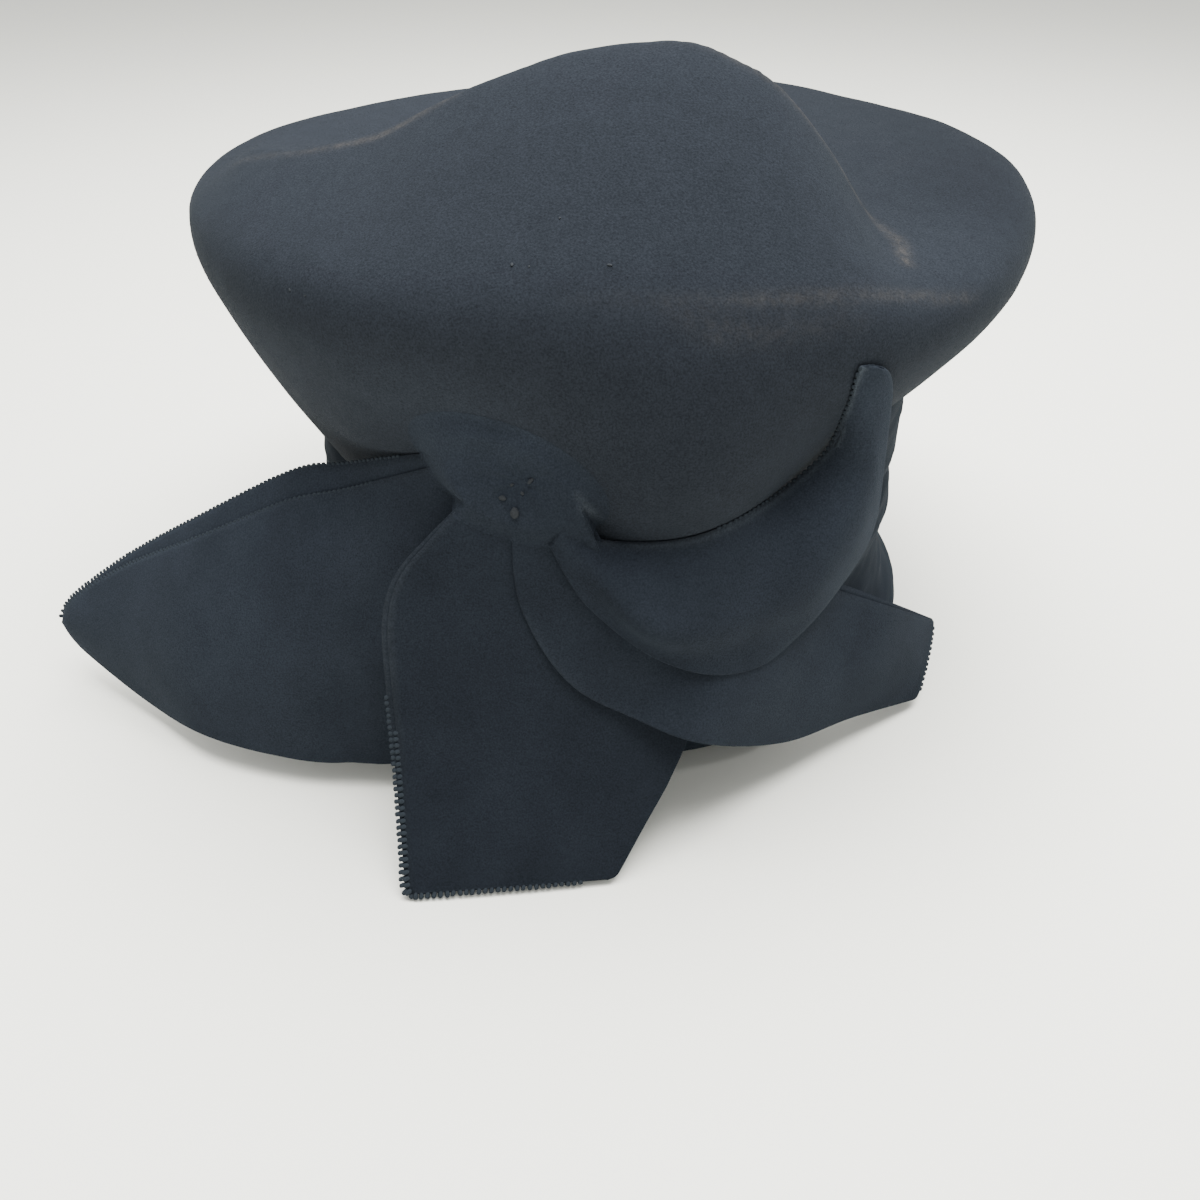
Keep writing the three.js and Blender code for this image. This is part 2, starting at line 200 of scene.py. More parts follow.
# The four ribbons run from the knot to their tips.
WING_LEFT = (
    RibbonSection(-24, -107.9, 106, -24, -95, 58, 0, 0.02),
    RibbonSection(-43.5, -105, 106, -50, -105, 14, 0, 0.04),
    RibbonSection(-68.8, -91, 96.5, -75, -106, 9, 2, 0.08),
    RibbonSection(-85.3, -80, 87.8, -95, -103, 9, 4, 0.1),
    RibbonSection(-115.9, -67, 66.3, -118, -94, 9, 5, 0.1),
    RibbonSection(-142.4, -58, 48, -140, -76.5, 7, 4, 0.07),
    RibbonSection(-164.6, -54, 30.4, -163, -60, 13, 1.5, 0.03),
    RibbonSection(-171, -53, 22, -170.5, -54.5, 18.5, 0, 0),
)

TAIL_FRONT = (
    RibbonSection(-33, -109.9, 97, -8, -111.2, 96, 0, 0),
    RibbonSection(-44.2, -111.5, 86, 0, -114, 80, 0.5, 0.02),
    RibbonSection(-53.2, -113, 75.5, 10, -115.5, 64, 1, 0.02),
    RibbonSection(-56.8, -116.5, 64.8, 17, -118, 50, 1, 0.02),
    RibbonSection(-56.9, -121, 49.6, 20, -122, 37, 1, 0.02),
    RibbonSection(-55.5, -128.5, 29.6, 15, -129, 25, 1, 0.02),
    RibbonSection(-54, -138, 14.5, 8, -135.5, 13.5, 1, 0.02),
    RibbonSection(-52.6, -148, 1.9, 0.7, -142.6, 1.9, 0, 0.02),
)

PETAL_LOWER = (
    RibbonSection(-8, -115.8, 98, -24, -115.8, 91, 0, 0),
    RibbonSection(4, -118.5, 71, -22, -120, 68, 0.5, 0.03),
    RibbonSection(25, -115.5, 66, -7.4, -128, 47, 0.5, 0.04),
    RibbonSection(48, -98.5, 68, 19.5, -129.5, 37, 1, 0.04),
    RibbonSection(64, -86, 55, 46.2, -109, 18.8, 2, 0.04),
    RibbonSection(81.5, -75, 41.5, 70, -89.5, 11.5, 2, 0.03),
    RibbonSection(100.5, -55.5, 22.5, 94.5, -71, 3.6, 0, 0.02),
)

PETAL_UPPER = (
    RibbonSection(-9, -119.9, 96, -15, -121, 86, 0, 0),
    RibbonSection(-3, -120.5, 91, -5, -127, 70, 0.5, 0.03),
    RibbonSection(16, -115, 87.3, 14, -131.5, 57, 1, 0.05),
    RibbonSection(32.4, -110.5, 92.3, 39.5, -118, 50, 1.5, 0.05),
    RibbonSection(50.5, -107.5, 107, 59.3, -98.5, 63.4, 2.5, 0.05),
    RibbonSection(54.2, -104, 116.3, 67.6, -90, 75, 2, 0.05),
    RibbonSection(55, -103.5, 123.2, 67, -93, 97.5, 1, 0.03),
    RibbonSection(56, -104.3, 127, 65, -97.6, 122, 0, 0),
)


class SmoothTable:
    """Smooth values through the rows of a table, at places counted in rows."""

    def __init__(self, rows: tuple, closed: bool = False) -> None:
        """Keeps the rows.

        Args:
            rows: Named tuples of one kind.
            closed: Whether the last row leads back to the first.
        """
        self.rows = np.array(rows, float)
        self.closed = closed
        self.column = {name: index for index, name in enumerate(rows[0]._fields)}

    def at(self, places: Points) -> Points:
        """Values at places, one row of columns for each.

        Args:
            places: Places counted in rows.

        Returns:
            The table's columns at the places, in its last axis.
        """
        places = np.asarray(places, float)
        count = len(self.rows)
        row = np.floor(places).astype(int)
        share = (places - row)[..., None]

        def pick(index: Points) -> Points:
            """Rows at indexes, wrapped or held at the ends."""
            return self.rows[index % count if self.closed else np.clip(index, 0, count - 1)]

        before, here, after, beyond = (pick(row + step) for step in (-1, 0, 1, 2))
        start = (after - before) / 2
        end = (beyond - here) / 2
        square, cube = share**2, share**3
        return (here * (2 * cube - 3 * square + 1) + start * (cube - 2 * square + share)
                + after * (3 * square - 2 * cube) + end * (cube - square))


def polar(azimuth: Points, radius: Points, height: Points) -> Points:
    """Points at azimuths counted from the front (-Y) towards +X.

    Args:
        azimuth: Angles in radians.
        radius: Distances from the head's axis.
        height: Heights above the floor.

    Returns:
        Points with x, y, z in the last axis.
    """
    return np.stack(np.broadcast_arrays(
        radius * np.sin(azimuth), -radius * np.cos(azimuth), height), axis=-1)


def oval_radius(half_width: Points, half_depth: Points, azimuth: Points) -> Points:
    """Radius of an oval at azimuths."""
    return 1 / np.hypot(np.sin(azimuth) / half_width, np.cos(azimuth) / half_depth)


def bell(away: Points, reach: float) -> Points:
    """A bell curve: 1 in its middle, about a third at its reach."""
    return np.exp(-((away / reach) ** 2))


def path_distance(points: Points, path: Points) -> tuple[Points, Points]:
    """Distance of points from a path of straight pieces.

    Args:
        points: Points, one a row.
        path: Corners of the path, one a row.

    Returns:
        The distances, and where along the path the nearest place is, in corners.
    """
    best = np.full(len(points), np.inf)
    place = np.zeros(len(points))
    for index, (start, end) in enumerate(zip(path[:-1], path[1:])):
        span = end - start
        share = np.clip((points - start) @ span / (span @ span), 0, 1)
        distance = np.linalg.norm(points - (start + share[:, None] * span), axis=1)
        nearer = distance < best
        best[nearer] = distance[nearer]
        place[nearer] = index + share[nearer]
    return best, place


def soft_noise(points: Points, size: float, seed: float = 0.0) -> Points:
    """Smooth noise between about -1 and 1.

    Args:
        points: Points, one a row.
        size: Size of the noise's lumps, in the points' unit.
        seed: Shift that gives another pattern.

    Returns:
        One value for each point.
    """
    shift = Vector([seed * share for share in NOISE_SHIFT])
    return np.array([noise.noise(Vector(point) / size + shift) for point in points])


def padded(values: Points, reach: int, axis: int) -> Points:
    """Values with their ends held for some steps more along an axis."""
    ends = [(reach, reach) if index == axis else (0, 0) for index in range(values.ndim)]
    return np.pad(values, ends, mode="edge")


def foremost(values: Points, reach: int, axis: int) -> Points:
    """The least value among each place's neighbours along an axis."""
    held = padded(values, reach, axis)
    return np.lib.stride_tricks.sliding_window_view(held, 2 * reach + 1, axis).min(axis=-1)


def blurred(values: Points, width: float, axis: int) -> Points:
    """Values smoothed along an axis, with the ends held.

    Args:
        values: Values on a grid.
        width: Width of the smoothing, in steps.
        axis: The axis to smooth along.

    Returns:
        The smoothed values.
    """
    reach = int(3 * width) + 1
    kernel = np.exp(-(np.arange(-reach, reach + 1) / width) ** 2 / 2)
    kernel /= kernel.sum()
    return np.apply_along_axis(lambda line: np.convolve(line, kernel, "valid"), axis,
                               padded(values, reach, axis))


class HeadFrame:
    """Turns places around the head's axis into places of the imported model."""

    def __init__(self) -> None:
        """Finds the head's axis in the middle of the headband."""
        low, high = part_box("headband")
        self.axis = np.array([(low.x + high.x) / 2, (low.y + high.y) / 2, 0.0])

    def place(self, points: Points) -> Points:
        """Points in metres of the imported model, from millimetres around the axis."""
        return np.asarray(points, float) * MM + self.axis


def depth_behind(x: Points, z: Points, head: HeadFrame, carriers: list[BVHTree]) -> Points:
    """Depth of the nearest surface at places of the front view.

    Args:
        x: Places to the side of the head's axis.
        z: Heights above the floor.
        head: Frame that places the points.
        carriers: Search trees of the finished pieces.

    Returns:
        Depths around the head's axis, nan where there is no surface.
    """
    depth = np.full(x.shape, np.nan)
    for index in np.ndindex(*x.shape):
        start = Vector(head.place((x[index], FAR_FRONT, z[index])))
        hits = [tree.ray_cast(start, Vector((0, 1, 0)))[0] for tree in carriers]
        found = [hit.y for hit in hits if hit is not None]
        if found:
            depth[index] = (min(found) - head.axis[1]) / MM
    return depth


@dataclass
class SheetFacts:
    """What a piece of cloth was cut to, and how it is held."""

    flat: tuple[float, float]
    held: Held
    rests_on: tuple[str, ...]
    area: float | None = None


@dataclass
class MeshDraft:
    """Vertices, faces and marks of a mesh on its way to Blender."""

    points: list[Points] = field(default_factory=list)
    faces: list[Points] = field(default_factory=list)
    mixed: list[tuple[int, ...]] = field(default_factory=list)
    marks: dict[str, list[Points]] = field(default_factory=dict)
    count: int = 0

    def add(self, points: Points, faces: Points | None = None, **marks: Points) -> int:
        """Adds points, and faces between them.

        Args:
            points: Points around the head's axis, one a row.
            faces: Faces by index into these points, one a row.
            marks: Values for each point, by attribute name.

        Returns:
            The index of the first point.
        """
        start = self.count
        self.points.append(points)
        if faces is not None:
            self.faces.append(faces + start)
        for name, values in marks.items():
            self.marks.setdefault(name, []).append(np.broadcast_to(values, len(points)))
        self.count += len(points)
        return start

    def add_grid(self, grid: Points, wrap_rows: bool = False, wrap_columns: bool = True,
                 flipped: bool = False, **marks: Points) -> int:
        """Adds a grid of points and the quads between them.

        Args:
            grid: Points by row and column.
            wrap_rows: Whether the last row joins the first.
            wrap_columns: Whether each row closes on itself.
            flipped: Whether the quads turn the other way.
            marks: Values for each point, by attribute name.

        Returns:
            The index of the first point.
        """
        faces = grid_faces(*grid.shape[:2], wrap_rows, wrap_columns, flipped)
        return self.add(grid.reshape(-1, 3), faces, **marks)

    def join(self, first: int, second: int, count: int) -> None:
        """Adds quads between two rings of points.

        Args:
            first: First point of one ring.
            second: First point of the other ring.
            count: Number of points in a ring.
        """
        spot = np.arange(count)
        after = (spot + 1) % count
        self.faces.append(np.stack(
            [first + spot, first + after, second + after, second + spot], axis=1))

    def fan(self, ring: int, pole: int, count: int, flipped: bool = False) -> None:
        """Adds triangles from a ring of points to its pole.

        Args:
            ring: The ring's first point.
            pole: The point in its middle.
            count: Number of points in the ring.
            flipped: Whether the triangles turn the other way.
        """
        spot = np.arange(count)
        corners = [ring + spot, ring + (spot + 1) % count]
        if flipped:
            corners.reverse()
        self.faces.append(np.stack([*corners, np.full(count, pole)], axis=1))

    def add_mixed(self, points: Points, faces: list[tuple[int, ...]]) -> None:
        """Adds points and faces that don't all have the same number of corners.

        Args:
            points: Points around the head's axis, one a row.
            faces: Corners of each face by index into these points.
        """
        self.points.append(points)
        self.mixed.extend(tuple(index + self.count for index in face) for face in faces)
        self.count += len(points)

    def build(self, name: str, head: HeadFrame) -> bpy.types.Object:
        """Makes the mesh object.

        Args:
            name: Name of the piece.
            head: Frame that places the points.

        Returns:
            The object, smooth shaded, at the origin.
        """
        mesh = bpy.data.meshes.new(name)
        faces = [face for block in self.faces for face in block.tolist()] + self.mixed
        mesh.from_pydata(head.place(np.concatenate(self.points)).tolist(), [], faces)
        for mark, values in self.marks.items():
            attribute = mesh.attributes.new(mark, "FLOAT", "POINT")
            attribute.data.foreach_set("value", np.concatenate(values).astype(np.float32))
        piece = bpy.data.objects.new(name, mesh)
        bpy.context.collection.objects.link(piece)
        select_only(piece)
        bpy.ops.object.shade_smooth()
        return piece


def select_only(piece: bpy.types.Object) -> None:
    """Makes a piece the only selected and the active one."""
    bpy.ops.object.select_all(action="DESELECT")
    piece.select_set(True)
    bpy.context.view_layer.objects.active = piece


def face_outwards(piece: bpy.types.Object) -> None:
    """Turns all faces of a closed piece outwards.

    Args:
        piece: The piece, in object mode.
    """
    select_only(piece)
    bpy.ops.object.mode_set(mode="EDIT")
    bpy.ops.mesh.select_all(action="SELECT")
    bpy.ops.mesh.normals_make_consistent(inside=False)
    bpy.ops.object.mode_set(mode="OBJECT")


def grid_faces(rows: int, columns: int, wrap_rows: bool = False, wrap_columns: bool = False,
               flipped: bool = False) -> Points:
    """Quads of a grid of points stored row by row.

    Args:
        rows: Number of rows.
        columns: Number of points in a row.
        wrap_rows: Whether the last row joins the first.
        wrap_columns: Whether each row closes on itself.
        flipped: Whether the quads turn the other way.

    Returns:
        Four indexes a face.
    """
    row = np.arange(rows if wrap_rows else rows - 1)[:, None]
    column = np.arange(columns if wrap_columns else columns - 1)[None, :]
    next_row, next_column = (row + 1) % rows, (column + 1) % columns
    corners = [row * columns + column, row * columns + next_column,
               next_row * columns + next_column, next_row * columns + column]
    if flipped:
        corners.reverse()
    return np.stack(corners, axis=-1).reshape(-1, 4)


def grid_normals(grid: Points) -> Points:
    """Unit normals of a grid whose rows close on themselves.

    Args:
        grid: Points by row and column.

    Returns:
        One normal for each point, square to its row and its column.
    """
    across = np.roll(grid, -1, axis=1) - np.roll(grid, 1, axis=1)
    normal = np.cross(across, np.gradient(grid, axis=0))
    return normal / np.maximum(np.linalg.norm(normal, axis=-1, keepdims=True), TINY)


class MaterialBench:
    """A new matt material, with short ways to add and link its nodes."""

    def __init__(self, name: str, roughness: float, specular: float) -> None:
        """Makes the material.

        Args:
            name: Its name.
            roughness: Roughness of its surface.
            specular: Strength of its plain reflection.
        """
        self.material = bpy.data.materials.new(name)
        self.material.use_nodes = True
        self.tree = self.material.node_tree
        self.shader = self.tree.nodes["Principled BSDF"].inputs
        self.shader["Roughness"].default_value = roughness
        self.shader["Specular IOR Level"].default_value = specular
        self.place = self.node("ShaderNodeTexCoord").outputs["Object"]

    def node(self, kind: str) -> bpy.types.Node:
        """Adds a node of a kind."""
        return self.tree.nodes.new(kind)

    def link(self, source: Socket, target: Socket) -> None:
        """Links an output to an input."""
        self.tree.links.new(source, target)

    def speckle(self, size: float, detail: float = 2.0, roughness: float = 0.5) -> Socket:
        """Noise on Object coordinates.

        Args:
            size: Size of its lumps in millimetres.
            detail: Number of its finer layers.
            roughness: Strength of the finer layers.

        Returns:
            The noise's value.
        """
        texture = self.node("ShaderNodeTexNoise")
        for socket, value in (("Scale", 1 / (size * MM)), ("Detail", detail),
                              ("Roughness", roughness)):
            texture.inputs[socket].default_value = value
        self.link(self.place, texture.inputs["Vector"])
        return texture.outputs["Fac"]

    def spread(self, source: Socket, given: Span, wanted: Span) -> Socket:
        """Stretches one span of a value to another.

        Args:
            source: The value.
            given: The span that it is read over.
            wanted: The span that it is stretched to.

        Returns:
            The stretched value.
        """
        reach = self.node("ShaderNodeMapRange")
        sockets = ("From Min", "From Max", "To Min", "To Max")
        for socket, value in zip(sockets, (*given, *wanted)):
            reach.inputs[socket].default_value = value
        self.link(source, reach.inputs["Value"])
        return reach.outputs["Result"]

    def times(self, first: Socket, second: Socket) -> Socket:
        """Multiplies two values.

        Args:
            first: One value.
            second: The other.

        Returns:
            Their product.
        """
        product = self.node("ShaderNodeMath")
        product.operation = "MULTIPLY"
        self.link(first, product.inputs[0])
        self.link(second, product.inputs[1])
        return product.outputs[0]

    def mark(self, name: str) -> Socket:
        """Value of a named attribute of the mesh."""
        attribute = self.node("ShaderNodeAttribute")
        attribute.attribute_name = name
        return attribute.outputs["Fac"]

    def tone(self, share: Socket, first: Colour, second: Colour) -> Socket:
        """Colour between two others.

        Args:
            share: Share of the second colour.
            first: Colour at 0.
            second: Colour at 1.

        Returns:
            The mixed colour.
        """
        mix = self.node("ShaderNodeMix")
        mix.data_type = "RGBA"
        mix.inputs["A"].default_value = (*first, 1)
        mix.inputs["B"].default_value = (*second, 1)
        self.link(share, mix.inputs["Factor"])
        return mix.outputs["Result"]


@dataclass(frozen=True)
class ClothFinish:
    """A napped cloth: its colour, painted light and shade, mottling, and the look of its worn
    places and painted highlights.
    """

    name: str
    colour: Colour
    worn_and_highlight_colour: Colour
    sheen: float
    sheen_roughness: float
    sheen_tint: Colour
    fibre_size: float
    fibre_contrast: float
    fibre_relief: float
    blotch_size: float
    blotch_contrast: float
    patchiness: float
    roughness: float = 0.95
    specular: float = 0.03
    fibre_detail: float = 3.0
    blotch_detail: float = 2.0
    patch_detail: float = 4.0
    grain: float = 0.6
    patch_size: float = 2.2
    patch_gain: float = 0.4
    noise_span: Span = Span(0.25, 0.75)
    patch_span: Span = Span(0.35, 0.65)

    def build(self) -> bpy.types.Material:
        """Makes the node material.

        Returns:
            The material, which reads Object coordinates, an attribute of wear and painted
            highlights, and one of painted light and shade.
        """
        bench = MaterialBench(self.name, self.roughness, self.specular)
        bench.shader["Sheen Weight"].default_value = self.sheen
        bench.shader["Sheen Roughness"].default_value = self.sheen_roughness
        bench.shader["Sheen Tint"].default_value = (*self.sheen_tint, 1)
        fibres = bench.speckle(self.fibre_size, self.fibre_detail, self.grain)
        blotches = bench.speckle(self.blotch_size, self.blotch_detail, self.grain)
        mottling = bench.times(*(
            bench.spread(source, self.noise_span, Span(1 - contrast, 1 + contrast))
            for source, contrast in ((fibres, self.fibre_contrast),
                                     (blotches, self.blotch_contrast))))
        patches = bench.spread(
            bench.speckle(self.patch_size, self.patch_detail, self.grain), self.patch_span,
            Span(1 - self.patchiness, 1 + self.patch_gain * self.patchiness))
        # The wear marks mix in the worn colour, which on the ribbons' edges is painted highlight.
        share = bench.node("ShaderNodeClamp")
        bench.link(bench.times(bench.mark("wear"), patches), share.inputs["Value"])
        tone = bench.tone(share.outputs["Result"], self.colour, self.worn_and_highlight_colour)
        shaded = bench.node("ShaderNodeVectorMath")
        shaded.operation = "SCALE"
        bench.link(tone, shaded.inputs[0])
        # An attribute of painted light and shade scales the colour.
        bench.link(bench.times(bench.mark("pile"), mottling), shaded.inputs["Scale"])
        bench.link(shaded.outputs["Vector"], bench.shader["Base Color"])
        bump = bench.node("ShaderNodeBump")
        bump.inputs["Strength"].default_value = self.fibre_relief
        bump.inputs["Distance"].default_value = self.fibre_size * MM
        bench.link(fibres, bump.inputs["Height"])
        bench.link(bump.outputs["Normal"], bench.shader["Normal"])
        return bench.material


FELT = ClothFinish(
    name="napped_felt", colour=(0.0127, 0.0150, 0.0194), worn_and_highlight_colour=(0.030, 0.029, 0.029), sheen=0.02,
    sheen_roughness=0.5, sheen_tint=(0.72, 0.84, 0.95), fibre_size=0.5, fibre_contrast=0.38,
    fibre_relief=0.3, blotch_size=6, blotch_contrast=0.07, patchiness=0.7)
VELVET_BAND = ClothFinish(
    name="draped_velvet", colour=(0.0116, 0.0147, 0.0200), worn_and_highlight_colour=(0.026, 0.030, 0.036), sheen=0.03,
    sheen_roughness=0.4, sheen_tint=(0.66, 0.82, 1.0), fibre_size=0.3, fibre_contrast=0.25,
    fibre_relief=0.25, blotch_size=14, blotch_contrast=0.12, patchiness=0.4)
VELVET_RIBBON = ClothFinish(
    name="velvet_ribbon", colour=(0.0128, 0.0158, 0.0212), worn_and_highlight_colour=(0.028, 0.033, 0.040), sheen=0.03,
    sheen_roughness=0.38, sheen_tint=(0.64, 0.80, 1.0), fibre_size=0.45, fibre_contrast=0.36,
    fibre_relief=0.3, blotch_size=18, blotch_contrast=0.12, patchiness=0.35)


@dataclass(frozen=True)
class ThreadFinish:
    """Plain twisted thread of one colour, with a fine ply."""

    name: str
    colour: Colour
    ply_size: float = 0.25
    contrast: float = 0.35
    roughness: float = 0.95
    specular: float = 0.03

    def build(self) -> bpy.types.Material:
        """Makes the node material, which reads Object coordinates.

        Returns:
            The material.
        """
        bench = MaterialBench(self.name, self.roughness, self.specular)
        dark, light = (tuple(value * (1 + change) for value in self.colour)
                       for change in (-self.contrast, self.contrast))
        bench.link(bench.tone(bench.speckle(self.ply_size), dark, light),
                   bench.shader["Base Color"])
        return bench.material


PICOT_THREAD = ThreadFinish("picot_thread", (0.019, 0.0235, 0.029))
TACK_THREAD = ThreadFinish("tack_thread", (0.023, 0.025, 0.028))
LINT_FIBRE = ThreadFinish("lint_fibre", (0.029, 0.032, 0.036))
HAIR_FIBRE = ThreadFinish("hair_fibre", (0.010, 0.0124, 0.0152))


def dress(piece: bpy.types.Object, material: bpy.types.Material,
          replaced: str | None = None) -> bpy.types.Object:
    """Gives a finished piece its material and its place in the model.

    Args:
        piece: Finished object at the origin.
        material: Its material.
        replaced: The node that the piece stands for.

    Returns:
        The piece.
    """
    piece.data.materials.clear()
    piece.data.materials.append(material)
    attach(piece, BODY)
    if replaced:
        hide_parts(replaced)
    LOG.info("%s: %d faces", piece.name, len(piece.data.polygons))
    return piece


def skin_of(piece: bpy.types.Object) -> BVHTree:
    """Search tree over a finished piece's surface."""
    return BVHTree.FromPolygons([vertex.co for vertex in piece.data.vertices],
                                [tuple(face.vertices) for face in piece.data.polygons])


@dataclass(frozen=True)
class WornLine:
    """A rubbed line on cloth: corners around the head's axis, strengths and width."""

    path: tuple[Place, ...]
    strengths: tuple[float, ...]
    width: float

    def marks(self, points: Points) -> Points:
        """How worn each point is, from 0 to about 1.

        Args:
            points: Points around the head's axis.

        Returns:
            One value for each point.
        """
        distance, place = path_distance(points, np.array(self.path, float))
        strength = np.interp(place, np.arange(len(self.strengths)), self.strengths)
        return strength * bell(distance, self.width)


@dataclass
class FeltCrown:
    """Blocked felt crown with a peaked fold across the front of its top."""

    head: HeadFrame
    wall: float = 2.5
    seam_half_width: float = 91.4
    seam_half_depth: float = 93.4
    centre_height: float = 148
    dish: float = 2.2
    fold_front: float = 115
    fold_fullness: float = 1.3
    fold_back: float = 50
    fold_edge: float = 0.93
    ridge_radius: float = 4.0
    end_taper: float = 14.0
    back_azimuth: float = 2.72
    back_reach: float = 0.26
    back_rise: float = 5.0
    swell_azimuth: float = 0.15
    swell_reach: float = 0.27
    swell_out: float = 14.5
    swell_rise: float = 0.62
    rim_softness: float = 8.5
    rim_reach: float = 25.0
    rim_least: float = 0.3
    rim_front: Span = Span(-0.4, 0.6)
    spokes: int = 400
    flank_steps: int = 30
    top_steps: int = 84
    top_spacing: float = 1.25
    inner_stride: int = 4
    handwork: float = 0.45
    broad_lumps: float = 26.0
    small_lumps: float = 9.0
    small_share: float = 0.25
    # Painted light and shade on the felt, and the places and heights between which it comes in.
    side_heights: Span = Span(148, 114)
    painted_shade_right: float = 0.28
    right_sides: Span = Span(0, 95)
    right_power: float = 1.5
    right_depths: Span = Span(-70, -40)
    painted_light_flank: float = 0.28
    flank_sides: Span = Span(0, 80)
    painted_light_low: float = 0.06
    low_heights: Span = Span(113, 95)
    painted_light_front: float = 0.4
    front_side: float = -38
    front_reach: float = 34
    front_heights: Span = Span(100, 116)
    sections: SmoothTable = field(
        default_factory=lambda: SmoothTable(CROWN_SECTIONS, closed=True))
    crest: SmoothTable = field(default_factory=lambda: SmoothTable(CREST))
    worn_lines: tuple[WornLine, ...] = (
        WornLine(((-106, -20, 152.5), (-100.7, -27.6, 152.7), (-80, -40.3, 156.8),
                  (-57.6, -46, 163), (-38.3, -48, 172.5)),
                 (0.0, 0.3, 0.4, 0.85, 0.5), 1.7),
        WornLine(((6, -51, 184.5), (20.3, -51, 184), (34.7, -52, 178.6), (44.9, -53.3, 169),
                  (55, -55, 158), (64.7, -57, 146), (70, -66, 143), (69.4, -75.9, 140.6)),
                 (0.0, 0.25, 0.7, 1.0, 0.75, 0.7, 0.8, 0.9), 2.0),
        WornLine(((-10.6, -110.1, 144), (16, -109.4, 143.1), (31.3, -106, 142.1),
                  (47.6, -99.8, 140.4), (65.5, -90.8, 137.5), (82, -82.5, 134.1),
                  (100.1, -58.8, 124.5)),
                 (0.05, 0.15, 0.4, 0.5, 0.5, 0.4, 0.2), 1.9),
        WornLine(((12, -111.5, 141.5), (22.4, -112.5, 137.6), (34, -110.5, 136.2),
                  (54.6, -101.2, 135.6)),
                 (0.1, 0.28, 0.28, 0.1), 3.4),
        WornLine(((70, -30, 150), (82, -12, 152), (92, 4, 154)), (0.0, 0.3, 0.0), 2.0),
    )
    facts: SheetFacts = field(default_factory=lambda: SheetFacts(
        (0.36, 0.36), Held.STRETCHED, ("headband",), area=0.1018))

    def section(self, azimuth: Points) -> dict[str, Points]:
        """Crown sizes in some directions.

        Args:
            azimuth: The directions.

        Returns:
            The sizes by name, one for each direction.
        """
        rows = self.sections.at(azimuth / TURN * len(CROWN_SECTIONS))
        sizes = {name: rows[..., index] for name, index in self.sections.column.items()}
        away = azimuth - self.back_azimuth
        sizes["top"] = sizes["top"] + self.back_rise * bell(away, self.back_reach)
        return sizes

    def plateau(self, section: dict[str, Points], share: Points) -> Points:
        """Height of the dished top without the fold."""
        return self.centre_height + (section["top"] - self.centre_height) * share**self.dish

    def edge_rise(self, section: dict[str, Points], share: Points) -> Points:
        """Share of the full height that the rounded edge has reached."""
        return np.sqrt(np.maximum(0, 1 - share ** section["round"]))

    def fold_lift(self, x: Points, y: Points) -> Points:
        """How far the raised fold lifts the top.

        Args:
            x: Places to the side of the head's axis.
            y: Places along the head's depth.

        Returns:
            Lift at each place.
        """
        place = np.interp(x, self.crest.rows[:, 0], np.arange(len(CREST)))
        crest = self.crest.at(place)
        crest_y, height = crest[..., 1], crest[..., 2]
        section = self.section(np.arctan2(x, -crest_y) % TURN)
        share = np.minimum(self.fold_edge, np.hypot(x, crest_y) / section["reach"])
        full = section["rim"] + (height - section["rim"]) / self.edge_rise(section, share)
        lift = np.maximum(0, full - self.plateau(section, share))
        behind = np.maximum(0, y - crest_y)
        behind = np.hypot(behind, self.ridge_radius) - self.ridge_radius
        back = lift * np.maximum(0, 1 - behind / self.fold_back) ** 2
        front_y = -np.sqrt(np.maximum(1, self.fold_front**2 - x**2))
        forward = np.clip((crest_y - y) / np.maximum(1, crest_y - front_y), 0, 1)
        front = lift * (1 - forward**self.fold_fullness)
        end = np.clip(np.minimum(x - CREST[0].x, CREST[-1].x - x) / self.end_taper, 0, 1)
        return np.where(y > crest_y, back, front) * end * end * (3 - 2 * end)

    def swell(self, azimuth: Points, share: float) -> Points:
        """How far the side swells out behind the bow, at a share of its height."""
        turned = (azimuth - self.swell_azimuth + TURN / 2) % TURN - TURN / 2
        around = bell(turned, self.swell_reach)
        return self.swell_out * around * math.sin(math.pi * share**self.swell_rise)

    def outer_grid(self) -> Points:
        """Lays out the crown's outside.

        Returns:
            Rings of points from the seam up the side and over the rim to near the middle.
        """
        azimuth = np.arange(self.spokes) / self.spokes * TURN
        section = self.section(azimuth)
        seam = oval_radius(self.seam_half_width, self.seam_half_depth, azimuth)
        rings = []
        for step in range(self.flank_steps):
            share = step / self.flank_steps
            spread = 1 - (1 - share) ** section["flank"]
            height = section["seam"] + (section["rim"] - section["seam"]) * share
            radius = seam + (section["reach"] - seam) * spread + self.swell(azimuth, share)
            rings.append(polar(azimuth, radius, height))
        for step in range(self.top_steps):
            share = 1 - (step / self.top_steps) ** self.top_spacing
            rings.append(self.top_ring(azimuth, section, share))
        return self.soften_rim(np.array(rings), azimuth)

    def soften_rim(self, grid: Points, azimuth: Points) -> Points:
        """Rounds the turn from the side to the top, most at the front.

        Args:
            grid: Rings of points from the seam to the middle.
            azimuth: Directions of the points of a ring.

        Returns:
            The rings, with the rim rounded.
        """
        step = np.linalg.norm(np.diff(grid, axis=0), axis=2)
        travel = np.concatenate([np.zeros((1, len(azimuth))), np.cumsum(step, axis=0)]).T
        spacing = np.gradient(travel, axis=1)
        span = (travel[:, :, None] - travel[:, None, :]) / self.rim_softness
        kernel = np.exp(-span**2 / 2) * spacing[:, None, :]
        kernel /= kernel.sum(axis=2, keepdims=True)
        smooth = np.einsum("sij,jsk->isk", kernel, grid)
        front = self.rim_least + (1 - self.rim_least) * self.rim_front.share(np.cos(azimuth))
        away = (travel - travel[:, self.flank_steps][:, None]).T
        share = (bell(away, self.rim_reach) * front)[..., None]
        softened = grid * (1 - share) + smooth * share
        widest = np.hypot(grid[..., 0], grid[..., 1]).max(axis=0)
        kept = np.hypot(softened[..., 0], softened[..., 1]).max(axis=0)
        softened[..., :2] *= 1 + share * (widest / kept - 1)[None, :, None]
        return softened

